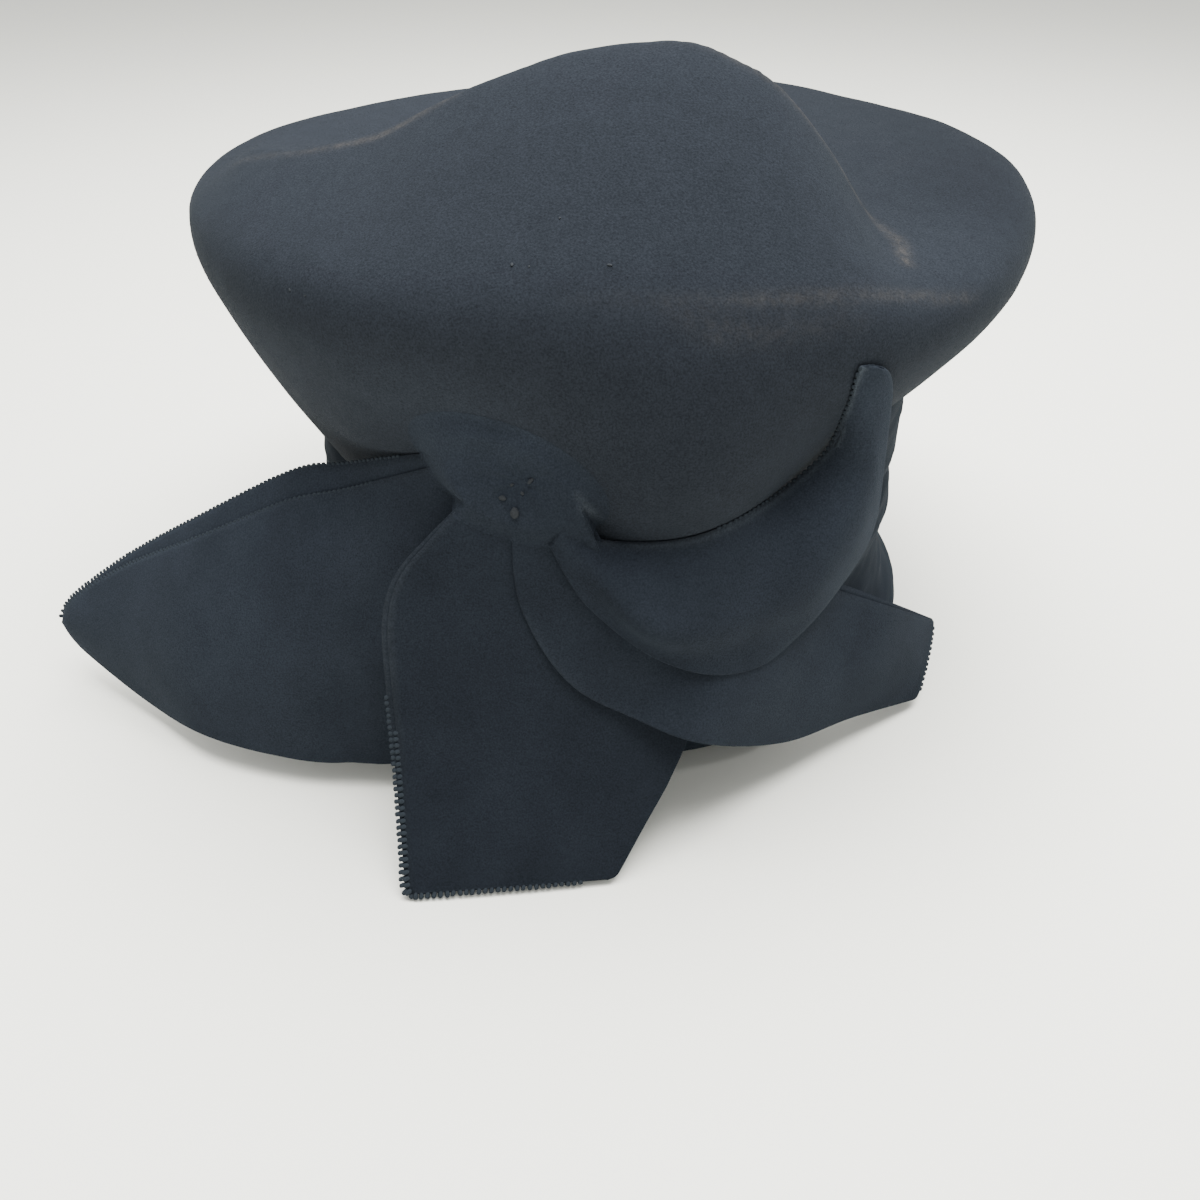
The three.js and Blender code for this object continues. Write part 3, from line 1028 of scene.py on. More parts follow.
    def top_ring(self, azimuth: Points, section: dict[str, Points], share: float) -> Points:
        """A ring of the top at a share of the reach.

        Args:
            azimuth: Directions of the ring's points.
            section: Crown sizes there.
            share: Share of the reach.

        Returns:
            The ring's points.
        """
        ring = polar(azimuth, section["reach"] * share, np.zeros_like(azimuth))
        full = self.plateau(section, share) + self.fold_lift(ring[:, 0], ring[:, 1])
        ring[:, 2] = section["rim"] + (full - section["rim"]) * self.edge_rise(section, share)
        return ring

    def relief(self, points: Points) -> Points:
        """Unevenness that shaping by hand leaves in the felt."""
        broad = soft_noise(points, self.broad_lumps)
        small = soft_noise(points, self.small_lumps, seed=3.1)
        return self.handwork * ((1 - self.small_share) * broad + self.small_share * small)

    def build(self) -> bpy.types.Object:
        """Makes the crown and dresses it.

        Returns:
            The crown's object.
        """
        grid = self.outer_grid()
        normals = grid_normals(grid)
        relief = self.relief(grid.reshape(-1, 3)).reshape(grid.shape[:2])
        relief[0] = 0
        grid = grid + normals * relief[..., None]
        rings = np.unique(np.append(np.arange(0, len(grid), self.inner_stride), len(grid) - 1))
        inner = grid[rings] - normals[rings] * self.wall
        inner[0, :, 2] = grid[0, :, 2]
        pole = self.top_ring(np.zeros(1), self.section(np.zeros(1)), 0.0)[0]
        points = grid.reshape(-1, 3)
        draft = MeshDraft()
        # The outside carries painted light and shade, and its wear marks.
        outside = draft.add_grid(grid, wear=self.wear(points), pile=self.painted_light_and_shade(points))
        inside = draft.add_grid(inner, flipped=True, wear=0, pile=1)
        poles = draft.add(np.array([pole, pole - (0, 0, self.wall)]), wear=0, pile=1)
        draft.join(inside, outside, self.spokes)
        draft.fan(inside - self.spokes, poles, self.spokes)
        draft.fan(poles - self.spokes, poles + 1, self.spokes, flipped=True)
        piece = draft.build("felt_crown", self.head)
        return dress(piece, FELT.build(), "crown")

    def painted_light_and_shade(self, points: Points) -> Points:
        """Painted light and shade on the felt: darker on the right of the top, lighter on the
        sides, low down and on the front to the left, above the bow.

        Args:
            points: Points around the head's axis.

        Returns:
            One value for each point.
        """
        x, y, z = points.T
        side = self.side_heights.share(z)
        right = self.right_sides.share(x) ** self.right_power
        top = 1 - self.painted_shade_right * right * self.right_depths.share(y)
        front = bell(x - self.front_side, self.front_reach) * self.front_heights.share(z)
        flank = (1 + self.painted_light_flank * self.flank_sides.share(np.abs(x)) ** 2
                 + self.painted_light_low * self.low_heights.share(z) + self.painted_light_front * front)
        return top * (1 - side) + flank * side

    def wear(self, points: Points) -> Points:
        """How rubbed each point of the outside is."""
        return np.clip(sum(line.marks(points) for line in self.worn_lines), 0, 1)


@dataclass
class LooseNap:
    """Fine hairs that stand out of the felt all over, seen along its outline."""

    head: HeadFrame
    count: int = 40000
    shortest: float = 0.3
    longest: float = 1.0
    width: float = 0.055
    sink: float = 0.1
    least_rise: float = 0.12
    upright: float = 0.55
    rise_power: float = 1.5
    lowest: float = 70.0
    hollow: Place = (0, 0, 105)
    seed: int = 11

    def build(self, crown: bpy.types.Object) -> bpy.types.Object:
        """Makes the hairs of a finished crown and dresses them.

        Args:
            crown: The crown's object.

        Returns:
            The hairs' object.
        """
        mesh = crown.data
        mesh.calc_loop_triangles()
        corners = np.array([vertex.co for vertex in mesh.vertices], float)
        corners = (corners - self.head.axis) / MM
        triangles = np.array([tuple(triangle.vertices) for triangle in mesh.loop_triangles])
        a, b, c = (corners[triangles[:, index]] for index in range(3))
        cross = np.cross(b - a, c - a)
        area = np.linalg.norm(cross, axis=1)
        outward = (cross * ((a + b + c) / 3 - self.hollow)).sum(axis=1) > 0
        keep = outward & (a[:, 2] > self.lowest)
        chance = np.random.default_rng(self.seed)
        picked = chance.choice(np.flatnonzero(keep), self.count, p=area[keep] / area[keep].sum())
        one, two = chance.random((2, self.count))
        flip = one + two > 1
        one, two = np.where(flip, 1 - one, one), np.where(flip, 1 - two, two)
        base = a[picked] + (b - a)[picked] * one[:, None] + (c - a)[picked] * two[:, None]
        normal = cross[picked] / area[picked][:, None]
        drift = chance.normal(size=(self.count, 3))
        drift -= normal * (drift * normal).sum(axis=1, keepdims=True)
        drift /= np.linalg.norm(drift, axis=1, keepdims=True)
        rise = chance.random(self.count)[:, None] ** self.rise_power
        rise = rise * self.upright + self.least_rise
        lean = normal * rise + drift * np.sqrt(1 - rise**2)
        length = chance.uniform(self.shortest, self.longest, self.count)[:, None]
        side = np.cross(lean, normal)
        side /= np.linalg.norm(side, axis=1, keepdims=True)
        across = np.cross(lean, side)
        base = base - normal * self.sink
        foot = [base + self.width / 2 * (math.cos(turn) * side + math.sin(turn) * across)
                for turn in (0, TURN / 3, 2 * TURN / 3)]
        points = np.stack([*foot, base + lean * length], axis=1).reshape(-1, 3)
        start = np.arange(self.count)[:, None] * 4
        faces = np.concatenate([start + [0, 1, 3], start + [1, 2, 3], start + [2, 0, 3],
                                start + [2, 1, 0]])
        draft = MeshDraft()
        draft.add(points, faces)
        return dress(draft.build("felt_nap_hairs", self.head), HAIR_FIBRE.build())


@dataclass
class DrapedHeadband:
    """Velvet draped round the head in four soft folds, tucked up into the crown."""

    head: HeadFrame
    depth_extra: float = 2
    drift: float = 0.018
    tuck: float = 4
    tuck_outside: float = 88.3
    tuck_inside: float = 85.9
    below: float = 0.6
    spokes: int = 420
    rows_outside: int = 96
    rows_inside: int = 30
    crumple: float = 0.7
    wrinkle_rise: float = 22
    wrinkle_slant: float = 1.3
    slant_turn: float = 0.6
    wrinkle_length: float = 4.2
    fine_scale: Place = (1.8, 1.8, 2.6)
    fine_share: float = 0.35
    plain_low: Span = Span(0, 0.06)
    plain_high: float = 0.08
    levels: SmoothTable = field(default_factory=lambda: SmoothTable(BAND_LEVELS))
    facts: SheetFacts = field(default_factory=lambda: SheetFacts(
        (0.60, 0.13), Held.DRAPED, ("felt_crown",)))

    def __post_init__(self) -> None:
        """Works out the directions of a ring's points."""
        self.azimuth = np.arange(self.spokes) / self.spokes * TURN

    def wrinkles(self, level: Points) -> Points:
        """Fine wrinkles that run round the band, a little aslant.

        Args:
            level: Shares of the seam's height, one for each direction.

        Returns:
            Depth of the wrinkles outwards.
        """
        turned = np.sin(self.azimuth * 2 + self.slant_turn)
        slant = level * self.wrinkle_rise + self.wrinkle_slant * turned
        places = np.stack([self.wrinkle_length * np.sin(self.azimuth),
                           self.wrinkle_length * np.cos(self.azimuth), slant], axis=-1)
        broad = soft_noise(places, 1.0, seed=5.0)
        fine = soft_noise(places * self.fine_scale, 1.0, seed=9.0)
        high = np.clip((BAND_LEVELS[-1].level - level) / self.plain_high, 0, 1)
        return self.crumple * (self.plain_low.share(level) * high) * (
            broad + self.fine_share * fine)

    def ring(self, half: Points | float, height: Points) -> Points:
        """A ring of the band at a half width and a height."""
        radius = oval_radius(half, half + self.depth_extra, self.azimuth)
        return polar(self.azimuth, radius, height)

    def skin(self, column: str, rows: int, top: Points) -> list[Points]:
        """Rings of one side of the band, wrinkled on the outside.

        Args:
            column: The table's column of that side.
            rows: Number of rings.
            top: Height of the seam in each direction.

        Returns:
            The rings from the floor up.
        """
        rings = []
        for place in np.linspace(0, len(BAND_LEVELS) - 1, rows):
            row = self.levels.at(place)
            level = float(np.clip(row[0], 0, BAND_LEVELS[-1].level))
            wander = self.drift * np.sin(np.pi * level) * np.sin(2 * self.azimuth + 1)
            half = np.full(self.spokes, row[self.levels.column[column]])
            if column == "outside":
                half = half + self.wrinkles(level + wander)
            rings.append(self.ring(half, top * (level + wander)))
        return rings

    def build(self, crown: FeltCrown) -> bpy.types.Object:
        """Makes the headband under a crown and dresses it.

        Args:
            crown: The crown whose seam the band reaches.

        Returns:
            The headband's object.
        """
        top = crown.section(self.azimuth)["seam"]
        rings = [*self.skin("outside", self.rows_outside, top),
                 self.ring(self.tuck_outside, top - self.below),
                 self.ring(self.tuck_outside, top + self.tuck),
                 self.ring(self.tuck_inside, top + self.tuck),
                 *reversed(self.skin("inside", self.rows_inside, top))]
        draft = MeshDraft()
        draft.add_grid(np.array(rings), wrap_rows=True, wear=0, pile=1)
        piece = draft.build("velvet_headband", self.head)
        return dress(piece, VELVET_BAND.build(), "headband")


class PicotRun(NamedTuple):
    """Picots along a stretch of an edge, with their lengths at its start and its end."""

    edge: RibbonEdge
    start: float
    stop: float
    first_length: float
    last_length: float


Stretch = tuple[Points, Points, PicotRun]


class EdgeHighlight(NamedTuple):
    """Painted highlight on a stretch of a ribbon's folded or free edge, by places along its table.
    """

    on_fold: bool
    places: tuple[float, ...]
    strengths: tuple[float, ...]
    width: float


def along_line(spot: float, travel: Points, values: Points) -> Points:
    """Place or direction at a distance along a line."""
    return np.array([np.interp(spot, travel, values[:, axis]) for axis in range(3)])


@dataclass
class PicotTrim:
    """Rows of small rounded thread teeth on the woven edges of the ribbon."""

    pitch: float = 1.62
    half_width: float = 0.64
    half_depth: float = 0.3
    root: float = 0.5
    bluntness: float = 0.6
    unevenness: float = 0.12
    slant: float = 0.12
    look_ahead: float = 0.5
    segments: int = 10
    rings: int = 7
    seed: int = 7

    def tooth(self) -> tuple[Points, list[tuple[int, ...]]]:
        """One tooth in its own plane: x along the edge, y outwards, z across the cloth.

        Returns:
            Its points, with the length outwards from 0 to 1, and its faces.
        """
        bpy.ops.object.select_all(action="DESELECT")
        bpy.ops.mesh.primitive_uv_sphere_add(segments=self.segments, ring_count=self.rings)
        model = bpy.context.object
        points = np.array([vertex.co for vertex in model.data.vertices], float)
        faces = sorted(tuple(face.vertices) for face in model.data.polygons)
        bpy.data.objects.remove(model, do_unlink=True)
        outward = np.sign(points[:, 2]) * np.abs(points[:, 2]) ** self.bluntness
        return np.stack([points[:, 0] * self.half_width, (1 + outward) / 2,
                         points[:, 1] * self.half_depth], axis=1), faces

    def rows(self, name: str, head: HeadFrame, stretches: list[Stretch]) -> bpy.types.Object:
        """Sets teeth along edges.

        Args:
            name: Name of the trim piece.
            head: Frame that places the points.
            stretches: For each edge its line, the outward directions along it, and its run.

        Returns:
            The trim's object.
        """
        points, faces = self.tooth()
        draft = MeshDraft()
        chance = np.random.default_rng(self.seed)
        for line, outward, run in stretches:
            travel = np.insert(np.cumsum(np.linalg.norm(np.diff(line, axis=0), axis=1)), 0, 0)
            for spot in np.arange(self.pitch / 2, travel[-1], self.pitch):
                base = along_line(spot, travel, line)
                out = along_line(spot, travel, outward)
                ahead = along_line(spot + self.look_ahead, travel, line) - base
                if np.linalg.norm(ahead) < TINY:
                    continue
                ahead /= np.linalg.norm(ahead)
                out = out - ahead * (out @ ahead)
                out /= np.linalg.norm(out)
                up = np.cross(ahead, out)
                length = np.interp(spot / travel[-1], (0, 1), (run.first_length, run.last_length))
                size = length * (1 + self.unevenness * chance.uniform(-1, 1)) + self.root
                lean = self.slant + self.slant * chance.uniform(-1, 1)
                draft.add_mixed(base - out * self.root + points[:, :1] * ahead
                                + points[:, 1:2] * size * (out + lean * ahead)
                                + points[:, 2:] * up, faces)
        return draft.build(name, head)


@dataclass
class FoldedRibbon:
    """A piece of velvet ribbon, folded along one side, with its woven edges together."""

    head: HeadFrame
    name: str
    node: str
    rows: tuple[RibbonSection, ...]
    facts: SheetFacts
    picots: tuple[PicotRun, ...] = ()
    # Painted highlights on stretches of the edges, carried with the wear marks.
    painted_highlights: tuple[EdgeHighlight, ...] = ()
    # Painted light and shade along the ribbon, which scales its colour.
    pile: tuple[float, ...] = (1.0,)
    settle: tuple[float, ...] = ()
    settle_reach: float = 30.0
    settle_blur: tuple[tuple[int, int], ...] = ((1, 5), (0, 3))
    clearance: float = 0.1
    closed: bool = False
    lean_start: float = 0.2
    lean_way: Place = (0.0, 0.83, -0.56)
    lean_clearance: float = 0.7
    lean_most: tuple[float, ...] = ()
    lean_blur: float = 3
    round_end: float = 2.0
    most_inset: float = 0.35
    layer: float = 0.35
    spacing: float = 0.22
    puff: float = 0.45
    pleat_depth: float = 0.0
    pleat_count: float = 3.0
    pleat_reach: float = 1.2
    pleat_onset: float = 4.0
    look: float = 0.2
    along_steps: int = 150
    across_steps: int = 34
    fold_steps: int = 7
    edge_lines: int = 2
    end_points: int = 3
    selvedge: float = 1.1
    selvedge_fade: float = 1.6
    selvedge_shade: float = 0.12

    def __post_init__(self) -> None:
        """Makes the smooth table and the frames along the ribbon."""
        table = SmoothTable(self.rows)
        last = len(self.rows) - 1
        self.places = np.linspace(0, last, self.along_steps)
        self.values = table.at(self.places)
        ahead = table.at(np.minimum(last, self.places + self.look))
        behind = table.at(np.maximum(0, self.places - self.look))
        onward = (ahead - behind)[:, :3] + (ahead - behind)[:, 3:6]
        self.free = self.values[:, :3]
        self.fold = self.values[:, 3:6]
        self.across = self.free - self.fold
        normal = np.cross(onward, self.across)
        normal /= np.linalg.norm(normal, axis=1, keepdims=True)
        self.normal = np.where(normal[:, 1:2] > 0, -normal, normal)
        self.width = np.linalg.norm(self.across, axis=1)
        self.shift = np.zeros((self.across_steps, self.along_steps))
        self.lean = np.zeros((self.along_steps, 3))
        middle_line = (self.free + self.fold) / 2
        left = np.linalg.norm(np.diff(middle_line, axis=0), axis=1)[::-1].cumsum()[::-1]
        corner = np.maximum(0, self.round_end - np.append(left, 0))
        inset = (self.round_end - np.sqrt(self.round_end**2 - corner**2)) / self.width
        self.inset = np.minimum(inset, self.most_inset)

    def along(self, values: tuple[float, ...]) -> Points:
        """Values that are spaced evenly along the ribbon, at each of its places."""
        return np.interp(self.places, np.linspace(0, len(self.rows) - 1, len(values)), values)

    def lean_on(self, crown: BVHTree) -> None:
        """Leans the free edge against the crown, as far as it may go.

        Args:
            crown: Search tree of the finished crown.
        """
        direction = Vector(self.lean_way).normalized()
        most = self.along(self.lean_most)
        for spot, point in enumerate(self.head.place(self.free)):
            reach = crown.ray_cast(Vector(point), direction)[3]
            room = most[spot]
            if reach is not None:
                room = np.clip(reach / MM - self.lean_clearance, 0, room)
            self.lean[spot] = np.array(direction) * room
        self.lean = blurred(self.lean, self.lean_blur, 0)

    def settle_on(self, carriers: list[BVHTree]) -> None:
        """Lays the ribbon's folded edge on the pieces behind it.

        Args:
            carriers: Search trees of the finished pieces that it lies on.
        """
        shares = np.linspace(0, 1, self.across_steps)[:, None]
        middle = (self.fold + self.across * shares[..., None]
                  + self.normal * (self.values[:, 6] * np.sin(np.pi * shares))[..., None])
        behind = depth_behind(middle[..., 0], middle[..., 2], self.head, carriers)
        gap = behind - middle[..., 1] - (self.spacing + self.layer / 2 + self.clearance)
        near = bell(shares * self.width, self.settle_reach) * self.along(self.settle)
        self.shift = np.where(np.isnan(gap), 0, np.where(gap > 0, gap * near, gap))
        for axis, width in self.settle_blur:
            self.shift = blurred(foremost(self.shift, width, axis), width, axis)

    def reach(self, side: int) -> Points:
        """Share of the ribbon's width that a layer spans, all along."""
        lapped = self.values[:, 7]
        return 1 - lapped if (side > 0) != self.closed else np.ones(len(self.places))

    def column(self) -> list[tuple[float, float]]:
        """Steps across one layer, from the fold to its free edge.

        Returns:
            Pairs: an angle round the fold, or 90 degrees and a share of the way on.
        """
        round_fold = [(angle, 0.0) for angle in
                      np.linspace(0, math.pi / 2, self.fold_steps, endpoint=False)]
        flat = np.linspace(0, 1, self.across_steps)
        return round_fold + [(math.pi / 2, share) for share in flat]

    def line(self, side: int, angle: float, share: float) -> Points:
        """A line along the ribbon on one layer.

        Args:
            side: 1 for the front layer, -1 for the back one.
            angle: Angle round the fold.
            share: Share of the way from the fold's end to the free edge.

        Returns:
            The line's points.
        """
        reach = self.reach(side)
        start = self.spacing / self.width
        near = start * (1 - math.cos(angle))
        whole = near + (reach - start) * share
        whole = self.inset + whole * (1 - 2 * self.inset)
        puff = self.puff * np.sin(np.pi * share) * side
        height = side * self.spacing * math.sin(angle) + self.values[:, 6] * np.sin(np.pi * whole)
        pleats = self.pleat_depth * np.exp(-self.places / self.pleat_reach)
        onset = min(1, share * self.pleat_onset)
        ripple = pleats * np.cos(TURN * self.pleat_count * whole) * onset
        offset = height + puff + ripple
        line = self.fold + self.across * whole[:, None] + self.normal * offset[:, None]
        row = np.clip(whole, 0, 1) * (self.across_steps - 1)
        low = np.minimum(row.astype(int), self.across_steps - 2)
        spot = np.arange(self.along_steps)
        line[:, 1] += (self.shift[low, spot] * (1 - row + low)
                       + self.shift[low + 1, spot] * (row - low))
        bent = Span(self.lean_start, 1).share(whole) ** 2
        return line + self.lean * bent[:, None]

    def wear(self, whole: Points, edge_distance: Points) -> Points:
        """Marks for one line: the woven edge, and painted highlights on stretches of the edges.

        Args:
            whole: Distance of the line's points from the fold.
            edge_distance: Distance from the layer's free edge.

        Returns:
            One value for each point.
        """
        edge = np.clip(self.selvedge_fade - edge_distance / self.selvedge, 0, 1)
        marks = self.selvedge_shade * edge
        # Painted highlights are added to the woven edge's marks.
        for highlight in self.painted_highlights:
            strength = np.interp(self.places, highlight.places, highlight.strengths, left=0, right=0)
            distance = whole if highlight.on_fold else edge_distance
            marks = marks + strength * bell(distance, highlight.width)
        return np.clip(marks, 0, 1)

    def build(self, material: bpy.types.Material, trim: PicotTrim, carriers: list[BVHTree],
              crown: BVHTree) -> bpy.types.Object:
        """Makes the ribbon piece with its picots and dresses both.

        Args:
            material: Velvet of the ribbon.
            trim: The trim that sets picots along the edges.
            carriers: Search trees of the pieces that the ribbon lies on.
            crown: Search tree of the crown.

        Returns:
            The ribbon's object.
        """
        if self.settle:
            self.settle_on(carriers)
        if self.lean_most:
            self.lean_on(crown)
        lines, marks = [], []
        back = [(-1, angle, share) for angle, share in reversed(self.column())]
        front = [(1, angle, share) for angle, share in self.column()[1:]]
        for side, angle, share in back + front:
            lines.append(self.line(side, angle, share))
            reach = self.reach(side)
            whole = share * reach * self.width
            marks.append(self.wear(whole, reach * self.width - whole))
        grid = np.array(lines)
        draft = MeshDraft()
        draft.add_grid(grid, wrap_columns=False, wear=np.concatenate(marks),
                       pile=np.tile(self.along(self.pile), len(grid)))
        piece = draft.build(self.name, self.head)
        wall = piece.modifiers.new("layer", "SOLIDIFY")
        wall.thickness = self.layer * MM
        wall.offset = 0
        wall.use_even_offset = True
        bpy.ops.object.modifier_apply(modifier=wall.name)
        face_outwards(piece)
        teeth = ()
        if self.picots:
            teeth = (dress(trim.rows(f"{self.name}_picots", self.head, self.stretches(grid)),
                           PICOT_THREAD.build()),)
        return dress(piece, material, self.node)

    def stretches(self, grid: Points) -> list[Stretch]:
        """Edges that carry picots.

        Args:
            grid: The ribbon's points, line by line from the back edge to the front one.

        Returns:
            For each run its line and outward directions, and the run.
        """
        result = []
        middle = len(grid) // 2
        for run in self.picots:
            if run.edge in (RibbonEdge.FRONT, RibbonEdge.BACK):
                layer = grid[::-1] if run.edge is RibbonEdge.FRONT else grid
                line, inner = layer[0], layer[self.edge_lines]
            else:
                layer = grid[middle:] if run.edge is RibbonEdge.END_FRONT else grid[:middle][::-1]
                line, inner = layer[:, -1], layer[:, -1 - self.end_points]
            outward = line - inner
            outward = outward / np.linalg.norm(outward, axis=1, keepdims=True)
            low = int(run.start * (len(line) - 1))
            high = int(run.stop * (len(line) - 1)) + 1
            result.append((line[low:high], outward[low:high], run))
        return result


@dataclass
class GatheredKnot:
    """The gathered middle of the bow, which runs out flush over what is around it."""

    head: HeadFrame
    centre: tuple[float, float] = (-25.0, 100.5)
    half_length: float = 25.0
    half_height: float = 14.0
    turned: float = -18.0
    spokes: int = 150
    rings: int = 56
    ring_spacing: float = 0.8
    border: Span = Span(1, 0.6)
    layer: float = 0.35
    border_layer: float = 0.08
    clearance: float = 0.03
    fullness: float = 0.5
    bridging: float = 5.0
    smoothing: float = 3.5
    stride: int = 7
    # Painted light on the knot's pile, lighter towards its top and its left, and where it comes
    # in.
    painted_tone: float = 1.0
    painted_tone_rise: float = 0.3
    rise_heights: Span = Span(97, 111)
    painted_tone_left: float = 0.15
    left_sides: Span = Span(-15, -40)
    tack: tuple[float, float] = (-22.0, 101.0)
    pleats: int = 9
    pleat_depth: float = 0.22
    pleat_reach: float = 9.0
    pleat_start: Span = Span(0, 3)
    pleat_sway: float = 0.5
    sway_length: float = 3.0
    dimple: float = 0.7
    dimple_reach: float = 3.5
    scuff: WornLine = WornLine(
        ((-8.4, 0, 99.5), (-7.1, 0, 97), (-5.4, 0, 94.6), (-3.3, 0, 91.7)),
        (0.4, 0.9, 0.9, 0.3), 1.0)
    facts: SheetFacts = field(default_factory=lambda: SheetFacts(
        (0.051, 0.029), Held.GATHERED, ("bow_tail_ribbon", "bow_petal_upper_ribbon")))

    def places(self) -> tuple[Points, Points, Points]:
        """Places of the patch's points in the front view, ring by ring.

        Returns:
            Places to the side, heights, and each ring's share of the patch's size.
        """
        angle = np.arange(self.spokes) / self.spokes * TURN
        share = (np.linspace(0, 1, self.rings + 1)[1:] ** self.ring_spacing)[:, None]
        along = self.half_length * share * np.cos(angle)
        upward = self.half_height * share * np.sin(angle)
        turn = math.radians(self.turned)
        x = self.centre[0] + along * math.cos(turn) - upward * math.sin(turn)
        z = self.centre[1] + along * math.sin(turn) + upward * math.cos(turn)
        return x, z, share

    def gathers(self, x: Points, z: Points) -> Points:
        """How full the patch is, with pleats that run out from the tack.

        Args:
            x: Places to the side of the head's axis.
            z: Heights above the floor.

        Returns:
            How far each place stands out.
        """
        away = np.hypot(x - self.tack[0], z - self.tack[1])
        around = np.arctan2(z - self.tack[1], x - self.tack[0])
        fade = bell(away, self.pleat_reach) * self.pleat_start.share(away)
        sway = self.pleat_sway * np.sin(away / self.sway_length)
        pleat = self.pleat_depth * np.cos(self.pleats * around + sway) * fade
        return self.fullness + pleat - self.dimple * bell(away, self.dimple_reach)

    def build(self, material: bpy.types.Material, carriers: list[BVHTree]) -> bpy.types.Object:
        """Makes the knot and dresses it.

        Args:
            material: Velvet of the ribbon.
            carriers: Search trees of the pieces around the knot.

        Returns:
            The knot's object.
        """
        x, z, share = self.places()
        behind = depth_behind(x, z, self.head, carriers)
        inner = self.border.share(share)
        inner = inner * inner * (3 - 2 * inner)
        layer = self.layer * (self.border_layer + (1 - self.border_layer) * inner)
        front = behind * (1 - inner) + self.smoothed(x, z, behind) * inner
        front = front - self.clearance - layer - inner * self.gathers(x, z)
        front = np.minimum(front, behind - self.clearance - layer)
        outer = np.stack([x, front, z], axis=-1)
        centre = np.array([[self.centre[0], front[0].mean(), self.centre[1]]])
        points = outer.reshape(-1, 3)
        # Painted light: the knot grows lighter towards its top and its left.
        painted_tone = (self.painted_tone + self.painted_tone_rise * self.rise_heights.share(points[:, 2])
                 + self.painted_tone_left * self.left_sides.share(points[:, 0]))
        draft = MeshDraft()
        first = draft.add_grid(outer, wear=self.scuff.marks(points * (1, 0, 1)), pile=painted_tone)
        second = draft.add_grid(outer + layer[..., None] * (0, 1, 0), flipped=True, wear=0, pile=1)
        middles = draft.add(np.concatenate([centre, centre + (0, self.layer, 0)]), wear=0, pile=1)
        rim = second - self.spokes
        draft.join(rim, middles - self.spokes, self.spokes)
        draft.fan(first, middles, self.spokes, flipped=True)
        draft.fan(second, middles + 1, self.spokes)
        piece = draft.build("bow_gathered_knot", self.head)
        for edge in piece.data.edges:
            edge.use_edge_sharp = all(corner in range(rim, second) for corner in edge.vertices)
        face_outwards(piece)
        return dress(piece, material, "bow_knot")

    def smoothed(self, x: Points, z: Points, depth: Points) -> Points:
        """Depths that bridge hollows and are smooth over each place's neighbourhood.

        Args:
            x: Places to the side of the head's axis.
            z: Heights above the floor.
            depth: Depth of what lies behind each place.

        Returns:
            The smoothed depths.
        """
        spots = np.stack([x, z], axis=-1).reshape(-1, 2)
        picked = spots[::self.stride]
        values = depth.reshape(-1)[::self.stride]
        near = ((picked[:, None] - picked[None]) ** 2).sum(axis=2) < self.bridging**2
        bridged = np.where(near, values[None], np.inf).min(axis=1)
        span = ((spots[:, None] - picked[None]) ** 2).sum(axis=2) / self.smoothing**2
        weight = np.exp(-span / 2)
        return ((weight @ bridged) / weight.sum(axis=1)).reshape(x.shape)


class Speck(NamedTuple):
    """A small bead of thread or lint: its place, radius and stretch sideways."""

    x: float
    y: float
    z: float
    radius: float
    stretch: float


@dataclass
class SpeckScatter:
    """Small beads of thread set on the surface of a finished piece."""

    head: HeadFrame
    name: str
    specks: tuple[Speck, ...]
    sink: float = 0.3
    flatness: float = 0.7
    lumpiness: float = 0.25
    twist: float = 1.3

    def build(self, carrier: bpy.types.Object, material: bpy.types.Material,
              slot: Slot) -> bpy.types.Object:
        """Makes the beads and dresses them.

        Args:
            carrier: The piece that the beads lie on.
            material: Their material.
            slot: Not used.

        Returns:
            The beads' object.
        """
        skin = skin_of(carrier)
        eye = Vector(self.head.place(Studio.camera_place))
        beads = []
        for index, speck in enumerate(self.specks):
            wanted = Vector(self.head.place((speck.x, speck.y, speck.z)))
            spot, normal = skin.ray_cast(eye, (wanted - eye).normalized())[:2]
            if spot is None:
                spot, normal = skin.find_nearest(wanted)[:2]
            bpy.ops.object.select_all(action="DESELECT")
            bpy.ops.mesh.primitive_ico_sphere_add(subdivisions=3, radius=speck.radius * MM)
            bead = bpy.context.object
            for vertex in bead.data.vertices:
                lump = noise.noise(vertex.co / (speck.radius * MM) + Vector((index, 0, 2)))
                vertex.co *= 1 + self.lumpiness * lump
            turn = normal.to_track_quat("Z", "X").to_matrix().to_4x4()
            shape = Matrix.Diagonal((speck.stretch, 1, self.flatness, 1))
            twist = Matrix.Rotation(index * self.twist, 4, "Z")
            rest = spot + normal * speck.radius * MM * (self.flatness - self.sink)
            bead.data.transform(Matrix.Translation(rest) @ turn @ twist @ shape)
            beads.append(bead)
        bpy.ops.object.select_all(action="DESELECT")
        for bead in beads:
            bead.select_set(True)
        bpy.context.view_layer.objects.active = beads[0]
        bpy.ops.object.join()
        piece = bpy.context.object
        piece.name = self.name
        piece.data.name = self.name
        bpy.ops.object.shade_smooth()
        return dress(piece, material)


